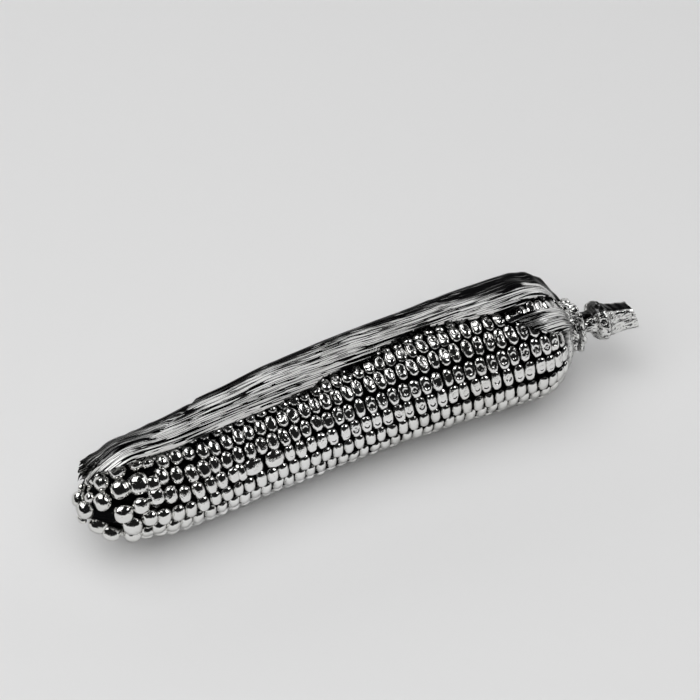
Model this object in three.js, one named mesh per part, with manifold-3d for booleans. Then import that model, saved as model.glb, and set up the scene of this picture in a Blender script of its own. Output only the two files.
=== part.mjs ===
// An ear of corn lying on its side, cast in polished metal: the cob with its rows of kernels,
// two husk leaves over the back, a torn scrap of husk at the butt, and the cut stalk.
// Millimetres and degrees. X runs from the tip to the stalk, Z is up, the ear lies on Z = 0.
import * as THREE from 'three';
import { mergeVertices } from 'three/addons/utils/BufferGeometryUtils.js';
import Module from 'manifold-3d';

// Ear: length along X and radius over the kernels, which grows slowly from the tip to the butt.
const EAR_LENGTH = 200;
const TIP_RADIUS = 19.9;
const BUTT_SWELL = 4.7;
const SWELL_POWER = 2.4;
const TIP_DOME_FROM = 30;       // the tip rounds off from here
const TIP_DOME_LENGTH = 33.5;
const TIP_LIFT = 3.3;           // the tip bends up, clear of the surface, by this much
const TIP_LIFT_FULL = 14;       // the tip is fully raised up to here
const TIP_LIFT_FROM = 38;       // and the bend starts here
const BUTT_DOME_FROM = 184;     // the butt rounds off from here
const BUTT_DOME_LENGTH = 20;
const BUTT_FACE_RADIUS = 8.9;   // where the rounded butt meets the stalk
const AXIS_BOW = 4.2;           // sideways bow of the axis at mid length
const STALK_RISE = 0.06;        // rise of the axis per millimetre beyond the butt
const STALK_STEP = 2.6;         // the stalk stands this far to the open side of the butt's middle
const STALK_STEP_FROM = 194;
const STALK_STEP_END = 208;
const STALK_LEAN = 0.055;       // and leans to that side by this much per millimetre

// Kernels: rows round the cob, with a slow twist.
const ROW_COUNT = 18;
const ROW_STEP = 360 / ROW_COUNT;
const FIRST_ROW_ANGLE = -16.4;  // at mid length, from the horizontal side -Y upward
const TWIST_PER_MM = -0.0666;
const KERNEL_PITCH = 4.7;
const KERNELS_PER_ROW = 37;
const ROWS_START = 22.2;
const KERNEL_DEPTH = 8;
const COB_SKIN = 1.6;           // least depth of the cob below the crowns, at the butt
const SHOULDER_DROP = 1.5;      // from a kernel's crown down to its shoulders
const GROOVE_DEPTH = 1.3;       // between two kernels of a row
const ROW_GAP = 0.5;
const CLEARANCE = 0.35;         // between pieces that lie on each other

// Kernels of the tip: rings of larger, rounder ones on the dome.
const TIP_RINGS = [
    { x: 17.6, count: 15, first: 13, radius: 3.4 },
    { x: 11.3, count: 13, first: 6, radius: 3.9 },
    { x: 5.0, count: 8, first: 12, radius: 4.0 },
    { x: -0.2, count: 5, first: 61, radius: 3.4 },
];
const TIP_CAP_END = 21.6;
const TIP_SKIN_DROP = 3.0;      // the dome between the kernels lies this far below their crowns

// Husk leaves: distance of the outer face from the ear's axis along the top of the ear.
const HUSK_RADIUS = [
    [-1, 11], [4, 18], [10, 19.8], [20, 21.6], [27, 22.6], [34, 23.1], [60, 24.3], [87, 26.3], [118, 26.9],
    [142, 26.6], [166, 27.9], [181, 28.4], [190, 26.9], [200, 21.3], [205, 14.6],
];
const LEAF_THICKNESS = 0.8;
const LEAF_SPACING = 1.6;       // from the outer leaf's outer face to the inner leaf's
const LEAF_STATIONS = [4.2, 8, 12, 16, 20, 25, 30, 37, 46, 55, 64, 73, 82, 92, 102, 112, 122,
    132, 142, 152, 162, 172, 181, 187, 192, 196, 199, 202, 204.4];
const LEAF_STEPS = 11;          // round the ear
const LEAF_EDGE_HEIGHT = 1.5;   // a leaf's outer face above the crowns at its front edge
const TIP_KERNEL_BULGE = 2.2;   // the tip's round kernels stand this much proud of the dome
const LEAF_RISE_ANGLE = 42;     // over this angle a leaf lifts off the kernels, from its front edge
const OUTER_LEAF_FRONT = [
    [0.5, 99], [6, 95], [10, 84], [16, 80], [60, 80], [92, 81], [100, 88], [118, 88],
    [127, 96], [143, 101], [152, 98], [165, 96], [180, 90], [192, 89], [204.4, 98],
];
const OUTER_LEAF_TONGUE = [[0.5, 103], [9, 99], [24, 99], [34, 106], [42, 119], [64, 150], [96, 195], [130, 232]];
const INNER_LEAF_FRONT = [[4.2, 112], [9, 103], [20, 99], [40, 104], [60, 108], [204.4, 118]];
const BACK_EDGE_MIDDLE = 104;   // where the back edge rests on the surface
const BACK_EDGE_REST = 34;      // half of the length that rests on it
const BACK_EDGE_LIFT = 0.011;   // degrees per square millimetre beyond that length
const LEAF_OVERLAP_STEP = 9;    // the outer leaf's back edge stops this many degrees short

// Torn scrap of husk over the last kernels of the butt.
const SCRAP_START = 178;
const SCRAP_END = 203.6;
const SCRAP_LOW = [[178, 75], [181, 60], [186, 46], [192, 40], [203.6, 40]];
const SCRAP_HIGH = [[178, 79], [186, 77], [193, 76], [203.6, 84]];
const SCRAP_THICKNESS = 0.9;

// Stalk: crinkled collar of husk stubs, neck, joint and cut end.
const COB_END = 203.6;
const COLLAR_START = 204.8;
const COLLAR_END = 211.8;
const COLLAR_RADIUS = 10.2;
const COLLAR_BORE = 5.6;
const COLLAR_STEPS = 28;
const STALK_SIDES = 12;
// Each station: x, height of the centre, radius.
const STALK_STATIONS = [
    [204.0, 25.6, 4.3], [209.0, 25.8, 4.3], [213.0, 25.2, 4.1], [215.2, 24.6, 6.0],
    [218.0, 24.1, 8.2], [221.0, 23.7, 8.6], [224.0, 23.2, 7.0], [227.0, 22.7, 6.2],
    [231.0, 21.9, 6.0], [236.2, 20.8, 5.8],
];
const CUT_SLANT = 0.22;         // lean of the cut face, millimetres per millimetre

const STEEL = { color: 0xd9d9d7, roughness: 0.12, metalness: 1.0 };
const KERNEL_METAL = { color: 0xe4e4e2, roughness: 0.06, metalness: 1.0 };
const HUSK_METAL = { color: 0xcfcfcd, roughness: 0.22, metalness: 1.0 };

const sine = (degrees) => Math.sin(THREE.MathUtils.degToRad(degrees));
const cosine = (degrees) => Math.cos(THREE.MathUtils.degToRad(degrees));

// Smooth value at x between [x, value] pairs.
function between(pairs, x) {
    const last = pairs.length - 1;
    if (x <= pairs[0][0]) return pairs[0][1];
    if (x >= pairs[last][0]) return pairs[last][1];
    const i = pairs.findIndex((pair) => pair[0] > x) - 1;
    const share = (x - pairs[i][0]) / (pairs[i + 1][0] - pairs[i][0]);
    return THREE.MathUtils.lerp(pairs[i][1], pairs[i + 1][1], THREE.MathUtils.smoothstep(share, 0, 1));
}

// Radius over the kernels without the rounded ends.
function bodyRadius(x) {
    const share = THREE.MathUtils.clamp(x / BUTT_DOME_FROM, 0, 1);
    return TIP_RADIUS + BUTT_SWELL * share ** SWELL_POWER;
}

// Radius over the kernels' crowns.
function crownRadius(x) {
    const tip = Math.max(0, TIP_DOME_FROM - x) / TIP_DOME_LENGTH;
    const butt = Math.max(0, x - BUTT_DOME_FROM) / BUTT_DOME_LENGTH;
    const dome = bodyRadius(x) * Math.sqrt(Math.max(0, 1 - tip * tip - butt * butt));
    return x > BUTT_DOME_FROM ? Math.max(dome, BUTT_FACE_RADIUS) : dome;
}

function rowAngle(row, x) {
    return FIRST_ROW_ANGLE + row * ROW_STEP + TWIST_PER_MM * (x - EAR_LENGTH / 2);
}

// Height of the axis: the lowest crown of every cross section touches the surface, except where
// the tip bends up.
function axisHeight(x) {
    const body = THREE.MathUtils.clamp(x, TIP_DOME_FROM, BUTT_DOME_FROM);
    const rows = Array.from({ length: ROW_COUNT }, (_, row) => -sine(rowAngle(row, body)));
    const lift = TIP_LIFT * (1 - THREE.MathUtils.smoothstep(x, TIP_LIFT_FULL, TIP_LIFT_FROM));
    const rise = STALK_RISE * Math.max(0, x - BUTT_DOME_FROM);
    return bodyRadius(body) * Math.max(...rows) + lift + rise;
}

// Sideways place of the axis: a slow bow, then a step to the open side where the stalk joins.
function axisSide(x) {
    const bow = AXIS_BOW * Math.sin(Math.PI * THREE.MathUtils.clamp(x / EAR_LENGTH, 0, 1));
    const step = STALK_STEP * THREE.MathUtils.smoothstep(x, STALK_STEP_FROM, STALK_STEP_END);
    return bow - step - STALK_LEAN * Math.max(0, x - STALK_STEP_END);
}

// A point at x, at an angle from the side -Y upward, and at a distance from the axis.
function earPoint(x, angle, radius) {
    return new THREE.Vector3(
        x,
        axisSide(x) - radius * cosine(angle),
        axisHeight(x) + radius * sine(angle),
    );
}

// Triangles over a ring's opening: a fan for a full section, a strip for a thin one
// whose second half runs back under the first.
const fan = (count) => Array.from({ length: count - 2 }, (_, j) => [0, j + 1, j + 2]);
function strip(count) {
    const cap = [];
    for (let j = 0; j < count / 2 - 1; j++) {
        const under = count - 1 - j;
        cap.push([j, j + 1, under - 1], [j, under - 1, under]);
    }
    return cap;
}

// One closed solid through equal rings that follow each other along +X.
function loft(rings, cap) {
    const count = rings[0].length;
    const index = [];
    for (let i = 0; i < rings.length - 1; i++) {
        for (let j = 0; j < count; j++) {
            const a = i * count + j;
            const b = i * count + ((j + 1) % count);
            index.push(a, a + count, b, b, a + count, b + count);
        }
    }
    const last = (rings.length - 1) * count;
    for (const [a, b, c] of cap) index.push(a, b, c, last + a, last + c, last + b);
    const geometry = new THREE.BufferGeometry();
    geometry.setFromPoints(rings.flat());
    geometry.setIndex(index);
    geometry.computeVertexNormals();
    return geometry;
}

// Evenly spaced values, both ends included.
function spaced(from, to, steps) {
    return Array.from({ length: steps + 1 }, (_, i) => THREE.MathUtils.lerp(from, to, i / steps));
}

// Radius of the cob under the kernels.
const cobRadius = (x) => Math.min(bodyRadius(x) - KERNEL_DEPTH, crownRadius(x) - COB_SKIN);

function cobGeometry() {
    const stations = [...spaced(ROWS_START - 0.2, 185, 12), 190, 194, 197, 199, 201, COB_END];
    const rings = stations.map((x) => spaced(0, 345, 23).map((angle) => earPoint(x, angle, cobRadius(x))));
    return loft(rings, fan(24));
}

// One row of kernels: a wedge whose point reaches the cob, with a crown at each kernel's
// middle and a groove between two kernels.
function kernelRowGeometry(row) {
    const halfGap = THREE.MathUtils.radToDeg(ROW_GAP / 2 / TIP_RADIUS);
    const start = ROWS_START + (row % 2) * KERNEL_PITCH / 4;
    const section = (x, drop) => {
        const angle = rowAngle(row, x);
        const crown = crownRadius(x) - drop;
        const root = cobRadius(x) + CLEARANCE;
        const shoulder = Math.max(crown - SHOULDER_DROP, root + 0.3);
        const spread = ROW_STEP / 2 - halfGap * TIP_RADIUS / shoulder;
        return [
            earPoint(x, angle, Math.max(crown, shoulder + 0.3)),
            earPoint(x, angle + spread, shoulder),
            earPoint(x, angle, root),
            earPoint(x, angle - spread, shoulder),
        ];
    };
    const rings = [section(start, GROOVE_DEPTH)];
    for (let kernel = 0; kernel < KERNELS_PER_ROW; kernel++) {
        const from = start + kernel * KERNEL_PITCH;
        rings.push(section(from + KERNEL_PITCH / 2, 0), section(from + KERNEL_PITCH, GROOVE_DEPTH));
    }
    return loft(rings, fan(4));
}

// The tip: round kernels crowded on the closing dome, joined into one solid.
async function tipGeometry() {
    const wasm = await Module();
    wasm.setup();
    const solid = (geometry) => {
        const bare = geometry.clone();
        bare.deleteAttribute('normal');
        bare.deleteAttribute('uv');
        const merged = mergeVertices(bare, 1e-4);
        return new wasm.Manifold(new wasm.Mesh({
            numProp: 3,
            vertProperties: Float32Array.from(merged.attributes.position.array),
            triVerts: Uint32Array.from(merged.index.array),
        }));
    };
    const rings = spaced(-1.5, TIP_CAP_END, 8).map((x) => {
        const radius = Math.max(1, crownRadius(x) - TIP_SKIN_DROP);
        return spaced(0, 340, 17).map((angle) => earPoint(x, angle, radius));
    });
    let tip = solid(loft(rings, fan(18)));
    for (const ring of TIP_RINGS) {
        for (let i = 0; i < ring.count; i++) {
            const angle = ring.first + (i * 360) / ring.count;
            const centre = earPoint(ring.x, angle, crownRadius(ring.x) - ring.radius * 0.92);
            const kernel = new THREE.DodecahedronGeometry(ring.radius);
            kernel.translate(centre.x, centre.y, centre.z);
            tip = tip.add(solid(kernel));
        }
    }
    const mesh = tip.getMesh();
    const geometry = new THREE.BufferGeometry();
    geometry.setAttribute('position', new THREE.BufferAttribute(Float32Array.from(mesh.vertProperties), 3));
    geometry.setIndex(new THREE.BufferAttribute(Uint32Array.from(mesh.triVerts), 1));
    geometry.computeVertexNormals();
    return geometry;
}

// A thin leaf: its outer face lies at outerRadius, its inner face one thickness below.
function leafGeometry(stations, low, high, outerRadius, thickness, steps) {
    const rings = stations.map((x) => {
        const angles = spaced(low(x), high(x), steps);
        const outer = angles.map((angle) => earPoint(x, angle, outerRadius(x, angle)));
        const inner = angles.map((angle) => earPoint(x, angle, outerRadius(x, angle) - thickness));
        return [...outer, ...inner.reverse()];
    });
    return loft(rings, strip(2 * (steps + 1)));
}

// Radius of a husk leaf's outer face: close over the kernels at the front edge, standing off
// them over the top and the back.
function huskRadius(x, angle, frontEdge) {
    const bulge = TIP_KERNEL_BULGE * (1 - THREE.MathUtils.smoothstep(x, 14, 26));
    const edge = crownRadius(x) + bulge + LEAF_EDGE_HEIGHT;
    const top = Math.max(between(HUSK_RADIUS, x), edge);
    const share = THREE.MathUtils.smoothstep(angle, frontEdge, frontEdge + LEAF_RISE_ANGLE);
    return THREE.MathUtils.lerp(edge, top, share);
}

// Angle at which a leaf of this radius meets the surface behind the ear, less the lift of
// its edge towards both ends.
function backEdge(x, radius) {
    const rest = THREE.MathUtils.radToDeg(Math.asin(Math.min(1, axisHeight(x) / radius)));
    const beyond = Math.max(0, Math.abs(x - BACK_EDGE_MIDDLE) - BACK_EDGE_REST);
    return 180 + rest - BACK_EDGE_LIFT * beyond * beyond;
}

function outerLeafGeometry() {
    const low = (x) => between(OUTER_LEAF_FRONT, x);
    const back = (x) => backEdge(x, between(HUSK_RADIUS, x)) - LEAF_OVERLAP_STEP;
    const high = (x) => Math.min(between(OUTER_LEAF_TONGUE, x), back(x));
    const radius = (x, angle) => huskRadius(x, angle, low(x));
    const stations = [OUTER_LEAF_FRONT[0][0], ...LEAF_STATIONS];
    return leafGeometry(stations, low, high, radius, LEAF_THICKNESS, LEAF_STEPS);
}

function innerLeafGeometry() {
    const low = (x) => between(INNER_LEAF_FRONT, x);
    const high = (x) => backEdge(x, between(HUSK_RADIUS, x) - LEAF_SPACING);
    const radius = (x, angle) => huskRadius(x, angle, between(OUTER_LEAF_FRONT, x)) - LEAF_SPACING;
    return leafGeometry(LEAF_STATIONS, low, high, radius, LEAF_THICKNESS, LEAF_STEPS);
}

function scrapGeometry() {
    const low = (x) => between(SCRAP_LOW, x);
    const high = (x) => between(SCRAP_HIGH, x);
    const radius = (x) => Math.max(crownRadius(x), cobRadius(x)) + CLEARANCE + SCRAP_THICKNESS;
    return leafGeometry(spaced(SCRAP_START, SCRAP_END, 9), low, high, radius, SCRAP_THICKNESS, 5);
}

// Collar: a ring of husk stubs round the top of the stalk, lumpy outside, with a plain bore.
function collarGeometry() {
    const profile = [
        [COLLAR_START, COLLAR_BORE], [COLLAR_END, COLLAR_BORE],
        [COLLAR_END - 0.4, COLLAR_RADIUS * 0.74], [COLLAR_END - 2.4, COLLAR_RADIUS],
        [COLLAR_START + 2.2, COLLAR_RADIUS * 0.97], [COLLAR_START + 0.2, COLLAR_RADIUS * 0.8],
    ];
    const count = profile.length;
    const points = [];
    const index = [];
    for (let step = 0; step < COLLAR_STEPS; step++) {
        const angle = (step * 360) / COLLAR_STEPS;
        const lump = 1 + 0.07 * sine(5 * angle) + 0.05 * sine(9 * angle + 40);
        profile.forEach(([x, radius], i) => {
            points.push(earPoint(x, angle, i < 2 ? radius : radius * lump));
        });
        const next = ((step + 1) % COLLAR_STEPS) * count;
        for (let i = 0; i < count; i++) {
            const a = step * count + i;
            const b = step * count + ((i + 1) % count);
            const c = next + i;
            const d = next + ((i + 1) % count);
            index.push(a, c, b, b, c, d);
        }
    }
    const geometry = new THREE.BufferGeometry();
    geometry.setFromPoints(points);
    geometry.setIndex(index);
    geometry.computeVertexNormals();
    return geometry;
}

// Stalk: neck through the collar, swollen joint, and a shaft with flats, cut off at a slant.
function stalkGeometry() {
    const rings = STALK_STATIONS.map(([x, height, radius], i) =>
        Array.from({ length: STALK_SIDES }, (_, j) => {
            const angle = (j * 360) / STALK_SIDES;
            const flat = 1 + 0.06 * cosine(3 * angle);
            const y = -radius * flat * cosine(angle);
            const z = radius * flat * sine(angle);
            const slant = i === STALK_STATIONS.length - 1 ? CUT_SLANT * z : 0;
            return new THREE.Vector3(x - slant, axisSide(x) + y, height + z);
        }));
    return loft(rings, fan(STALK_SIDES));
}

function piece(name, geometry, look) {
    const mesh = new THREE.Mesh(geometry, new THREE.MeshStandardMaterial(look));
    mesh.name = name;
    return mesh;
}

const ear = new THREE.Group();
ear.add(piece('cob', cobGeometry(), STEEL));
ear.add(piece('tip_kernels', await tipGeometry(), KERNEL_METAL));
for (let row = 0; row < ROW_COUNT; row++) {
    const name = `kernel_row_${String(row + 1).padStart(2, '0')}`;
    ear.add(piece(name, kernelRowGeometry(row), KERNEL_METAL));
}
ear.add(piece('husk_leaf_outer', outerLeafGeometry(), HUSK_METAL));
ear.add(piece('husk_leaf_inner', innerLeafGeometry(), HUSK_METAL));
ear.add(piece('husk_scrap', scrapGeometry(), HUSK_METAL));
ear.add(piece('husk_collar', collarGeometry(), HUSK_METAL));
ear.add(piece('stalk', stalkGeometry(), STEEL));

// The part's origin is the middle of its footprint, on the surface that it lies on.
const box = new THREE.Box3().setFromObject(ear);
const middle = box.getCenter(new THREE.Vector3());
ear.position.set(-middle.x, -middle.y, -box.min.z);
ear.updateMatrixWorld(true);

const part = new THREE.Group();
part.add(ear);
export default part;
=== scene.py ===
"""An ear of corn with part of its husk, cast in mirror-polished metal, lying on a pale floor.

Shapes are worked out in millimetres in the ear's own coordinates and put into the meshes in
metres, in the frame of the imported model. In ear coordinates x runs from the tip to the stalk,
and a place round the ear is an angle in degrees from the open side -Y upward.
"""
import logging
import math
from dataclasses import dataclass, field
from enum import Enum
from typing import Any, Callable, Sequence

import bpy
import numpy as np
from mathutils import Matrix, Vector


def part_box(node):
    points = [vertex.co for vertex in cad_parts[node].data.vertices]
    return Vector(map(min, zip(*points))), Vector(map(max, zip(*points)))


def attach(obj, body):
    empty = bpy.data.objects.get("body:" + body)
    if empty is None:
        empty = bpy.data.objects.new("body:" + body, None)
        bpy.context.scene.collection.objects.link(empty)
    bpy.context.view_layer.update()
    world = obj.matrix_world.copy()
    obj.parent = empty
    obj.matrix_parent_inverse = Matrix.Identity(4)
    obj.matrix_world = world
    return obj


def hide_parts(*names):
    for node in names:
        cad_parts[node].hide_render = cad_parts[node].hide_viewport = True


logging.basicConfig(level=logging.INFO, format="%(message)s")
log = logging.getLogger("ear")

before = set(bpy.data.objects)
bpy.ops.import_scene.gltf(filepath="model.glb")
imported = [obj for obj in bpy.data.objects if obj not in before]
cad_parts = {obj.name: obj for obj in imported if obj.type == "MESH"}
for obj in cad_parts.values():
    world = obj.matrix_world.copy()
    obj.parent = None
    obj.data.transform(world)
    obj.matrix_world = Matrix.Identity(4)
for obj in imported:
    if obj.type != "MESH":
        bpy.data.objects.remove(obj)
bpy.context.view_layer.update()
BODY = "root"
MM = 0.001

Colour = tuple[float, float, float, float]
Cells = tuple[float, float, float]
Range = tuple[float, float]
Number = float | np.ndarray


# ---------------------------------------------------------------- shape tools

def eased(share: np.ndarray) -> np.ndarray:
    """A share between 0 and 1 made level at both ends: 3t^2 - 2t^3."""
    return share * share * (3.0 - 2.0 * share)


def smooth_step(value: np.ndarray, low: Number, high: Number) -> np.ndarray:
    """Rise from 0 at low to 1 at high, level at both ends.

    Args:
        value: Where the rise is read.
        low: Value at which the rise starts.
        high: Value at which the rise ends; it may lie below low.

    Returns:
        3t^2 - 2t^3 with t the clamped share of the way from low to high.
    """
    return eased(np.clip((np.asarray(value, float) - low) / (high - low), 0.0, 1.0))


def hump(value: np.ndarray, middle: float, width: float) -> np.ndarray:
    """Bell curve of height 1: exp(-((value - middle) / width)^2).

    Args:
        value: Where the bell is read.
        middle: Place of its top.
        width: Distance at which it has fallen to 1/e.

    Returns:
        The height of the bell.
    """
    return np.exp(-(((np.asarray(value, float) - middle) / width) ** 2))


def through(points: Sequence[tuple[float, float]], x: np.ndarray) -> np.ndarray:
    """Value at x between (x, value) points, eased from each point to the next.

    Args:
        points: Points in the order of rising x.
        x: Where the curve is read.

    Returns:
        The eased value; outside the points, the nearest point's value.
    """
    table = np.asarray(points, float)
    x = np.clip(np.asarray(x, float), table[0, 0], table[-1, 0])
    index = np.clip(np.searchsorted(table[:, 0], x, side="right") - 1, 0, len(table) - 2)
    start, end = table[index], table[index + 1]
    share = eased((x - start[..., 0]) / (end[..., 0] - start[..., 0]))
    return start[..., 1] + share * (end[..., 1] - start[..., 1])


class Grain:
    """Smooth seeded noise over two directions, between -1 and 1."""

    SIZE = 256
    # cells by which each finer layer is shifted, and the height that the layers reach together
    SHIFT = (17, 31)
    PEAK = 1.6

    def __init__(self, seed: int) -> None:
        """Draw the table of corner values.

        Args:
            seed: Seed of the random table.
        """
        self.table = np.random.default_rng(seed).uniform(-1.0, 1.0, (self.SIZE, self.SIZE))

    def at(self, a: Number, b: Number) -> np.ndarray:
        """Noise with one cell per unit: corner values blended by 6t^5 - 15t^4 + 10t^3.

        Args:
            a: First coordinate, in cells.
            b: Second coordinate, in cells.

        Returns:
            The blended value of the four corners round each point.
        """
        a, b = np.broadcast_arrays(np.asarray(a, float), np.asarray(b, float))
        low_a, low_b = np.floor(a), np.floor(b)
        share_a, share_b = a - low_a, b - low_b
        share_a = share_a ** 3 * (share_a * (share_a * 6 - 15) + 10)
        share_b = share_b ** 3 * (share_b * (share_b * 6 - 15) + 10)
        i, j = low_a.astype(int) % self.SIZE, low_b.astype(int) % self.SIZE
        next_i, next_j = (i + 1) % self.SIZE, (j + 1) % self.SIZE
        near = self.table[i, j] * (1 - share_b) + self.table[i, next_j] * share_b
        far = self.table[next_i, j] * (1 - share_b) + self.table[next_i, next_j] * share_b
        return near * (1 - share_a) + far * share_a

    def layered(self, a: Number, b: Number, layers: int = 3) -> np.ndarray:
        """Sum of ever finer and weaker noise: each layer has twice the cells and half the height.

        Args:
            a: First coordinate, in cells of the coarsest layer.
            b: Second coordinate.
            layers: How many layers are added.

        Returns:
            The sum, roughly between -1 and 1.
        """
        shift_a, shift_b = self.SHIFT
        total = sum(self.at(a * 2 ** n + shift_a * n, b * 2 ** n + shift_b * n) / 2 ** n
                    for n in range(layers))
        return total / self.PEAK


def loft_faces(rings: int, around: int) -> list[list[int]]:
    """Faces of a closed skin through equal rings that follow each other along +x.

    Args:
        rings: Number of rings.
        around: Points in each ring, in the order of rising angle.

    Returns:
        Vertex indices of each face, pointing outwards; one face closes each end.
    """
    start = np.arange(rings - 1)[:, None] * around
    a = start + np.arange(around)
    b = start + (np.arange(around) + 1) % around
    faces = np.stack([a, a + around, b + around, b], -1).reshape(-1, 4).tolist()
    last = (rings - 1) * around
    return faces + [list(range(around)), [last + corner for corner in reversed(range(around))]]


def box_grid(cells: tuple[int, int, int]) -> tuple[np.ndarray, np.ndarray]:
    """Closed surface of a cube from -1 to 1 with a grid of squares on each side.

    Args:
        cells: Number of squares along x, y and z.

    Returns:
        The points, and the corners of each square, pointing outwards.
    """
    points, faces, count = [], [], 0
    for axis in range(3):
        first, second = (axis + 1) % 3, (axis + 2) % 3
        lines = [np.linspace(-1, 1, cells[k] + 1) for k in (first, second)]
        grid_a, grid_b = np.meshgrid(*lines, indexing="ij")
        for side in (-1, 1):
            patch = np.empty(grid_a.shape + (3,))
            patch[..., first], patch[..., second], patch[..., axis] = grid_a, grid_b, side
            index = np.arange(grid_a.size).reshape(grid_a.shape) + count
            square = np.stack([index[:-1, :-1], index[1:, :-1], index[1:, 1:], index[:-1, 1:]], -1)
            faces.append(square.reshape(-1, 4)[:, ::side])
            points.append(patch.reshape(-1, 3))
            count += grid_a.size
    merged, index = np.unique(np.concatenate(points).round(6), axis=0, return_inverse=True)
    return merged, index.reshape(-1)[np.concatenate(faces)]


def torus_faces(rings: int, around: int) -> list[list[int]]:
    """Faces of a skin that closes in both directions.

    Args:
        rings: Number of rings.
        around: Points in each ring.

    Returns:
        Vertex indices of each face, pointing outwards when the rings turn against the clock.
    """
    index = np.arange(rings * around).reshape(rings, around)
    down, right = np.roll(index, -1, 0), np.roll(index, -1, 1)
    both = np.roll(down, -1, 1)
    return np.stack([index, down, both, right], -1).reshape(-1, 4).tolist()


def sheet_faces(rows: int, outer: int, every: int) -> list[list[int]]:
    """Faces of a thin sheet whose inner side has one column for every few of the outer side.

    Args:
        rows: Stations along the sheet.
        outer: Columns of the outer side.
        every: Outer columns for each inner column.

    Returns:
        Vertex indices of each face, pointing outwards; the outer side's points come first.
    """
    inner = (outer - 1) // every + 1
    top = np.arange(rows * outer).reshape(rows, outer)
    under = top.size + np.arange(rows * inner).reshape(rows, inner)

    def squares(a: np.ndarray, b: np.ndarray, c: np.ndarray, d: np.ndarray) -> list[list[int]]:
        """Faces with their corners taken in turn from four grids of indices."""
        return np.stack([a, b, c, d], -1).reshape(-1, 4).tolist()

    faces = squares(top[:-1, :-1], top[1:, :-1], top[1:, 1:], top[:-1, 1:])
    faces += squares(under[:-1, :-1], under[:-1, 1:], under[1:, 1:], under[1:, :-1])
    faces += squares(under[:-1, 0], under[1:, 0], top[1:, 0], top[:-1, 0])
    faces += squares(top[:-1, -1], top[1:, -1], under[1:, -1], under[:-1, -1])
    steps = np.arange(0, outer - 1, every)[:, None] + np.arange(every + 1)
    for row, way in ((0, 1), (rows - 1, -1)):
        caps = np.concatenate([top[row][steps], under[row][1:, None], under[row][:-1, None]], 1)
        faces += caps[:, ::way].tolist()
    return faces


# ---------------------------------------------------------------- the ear's form

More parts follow.
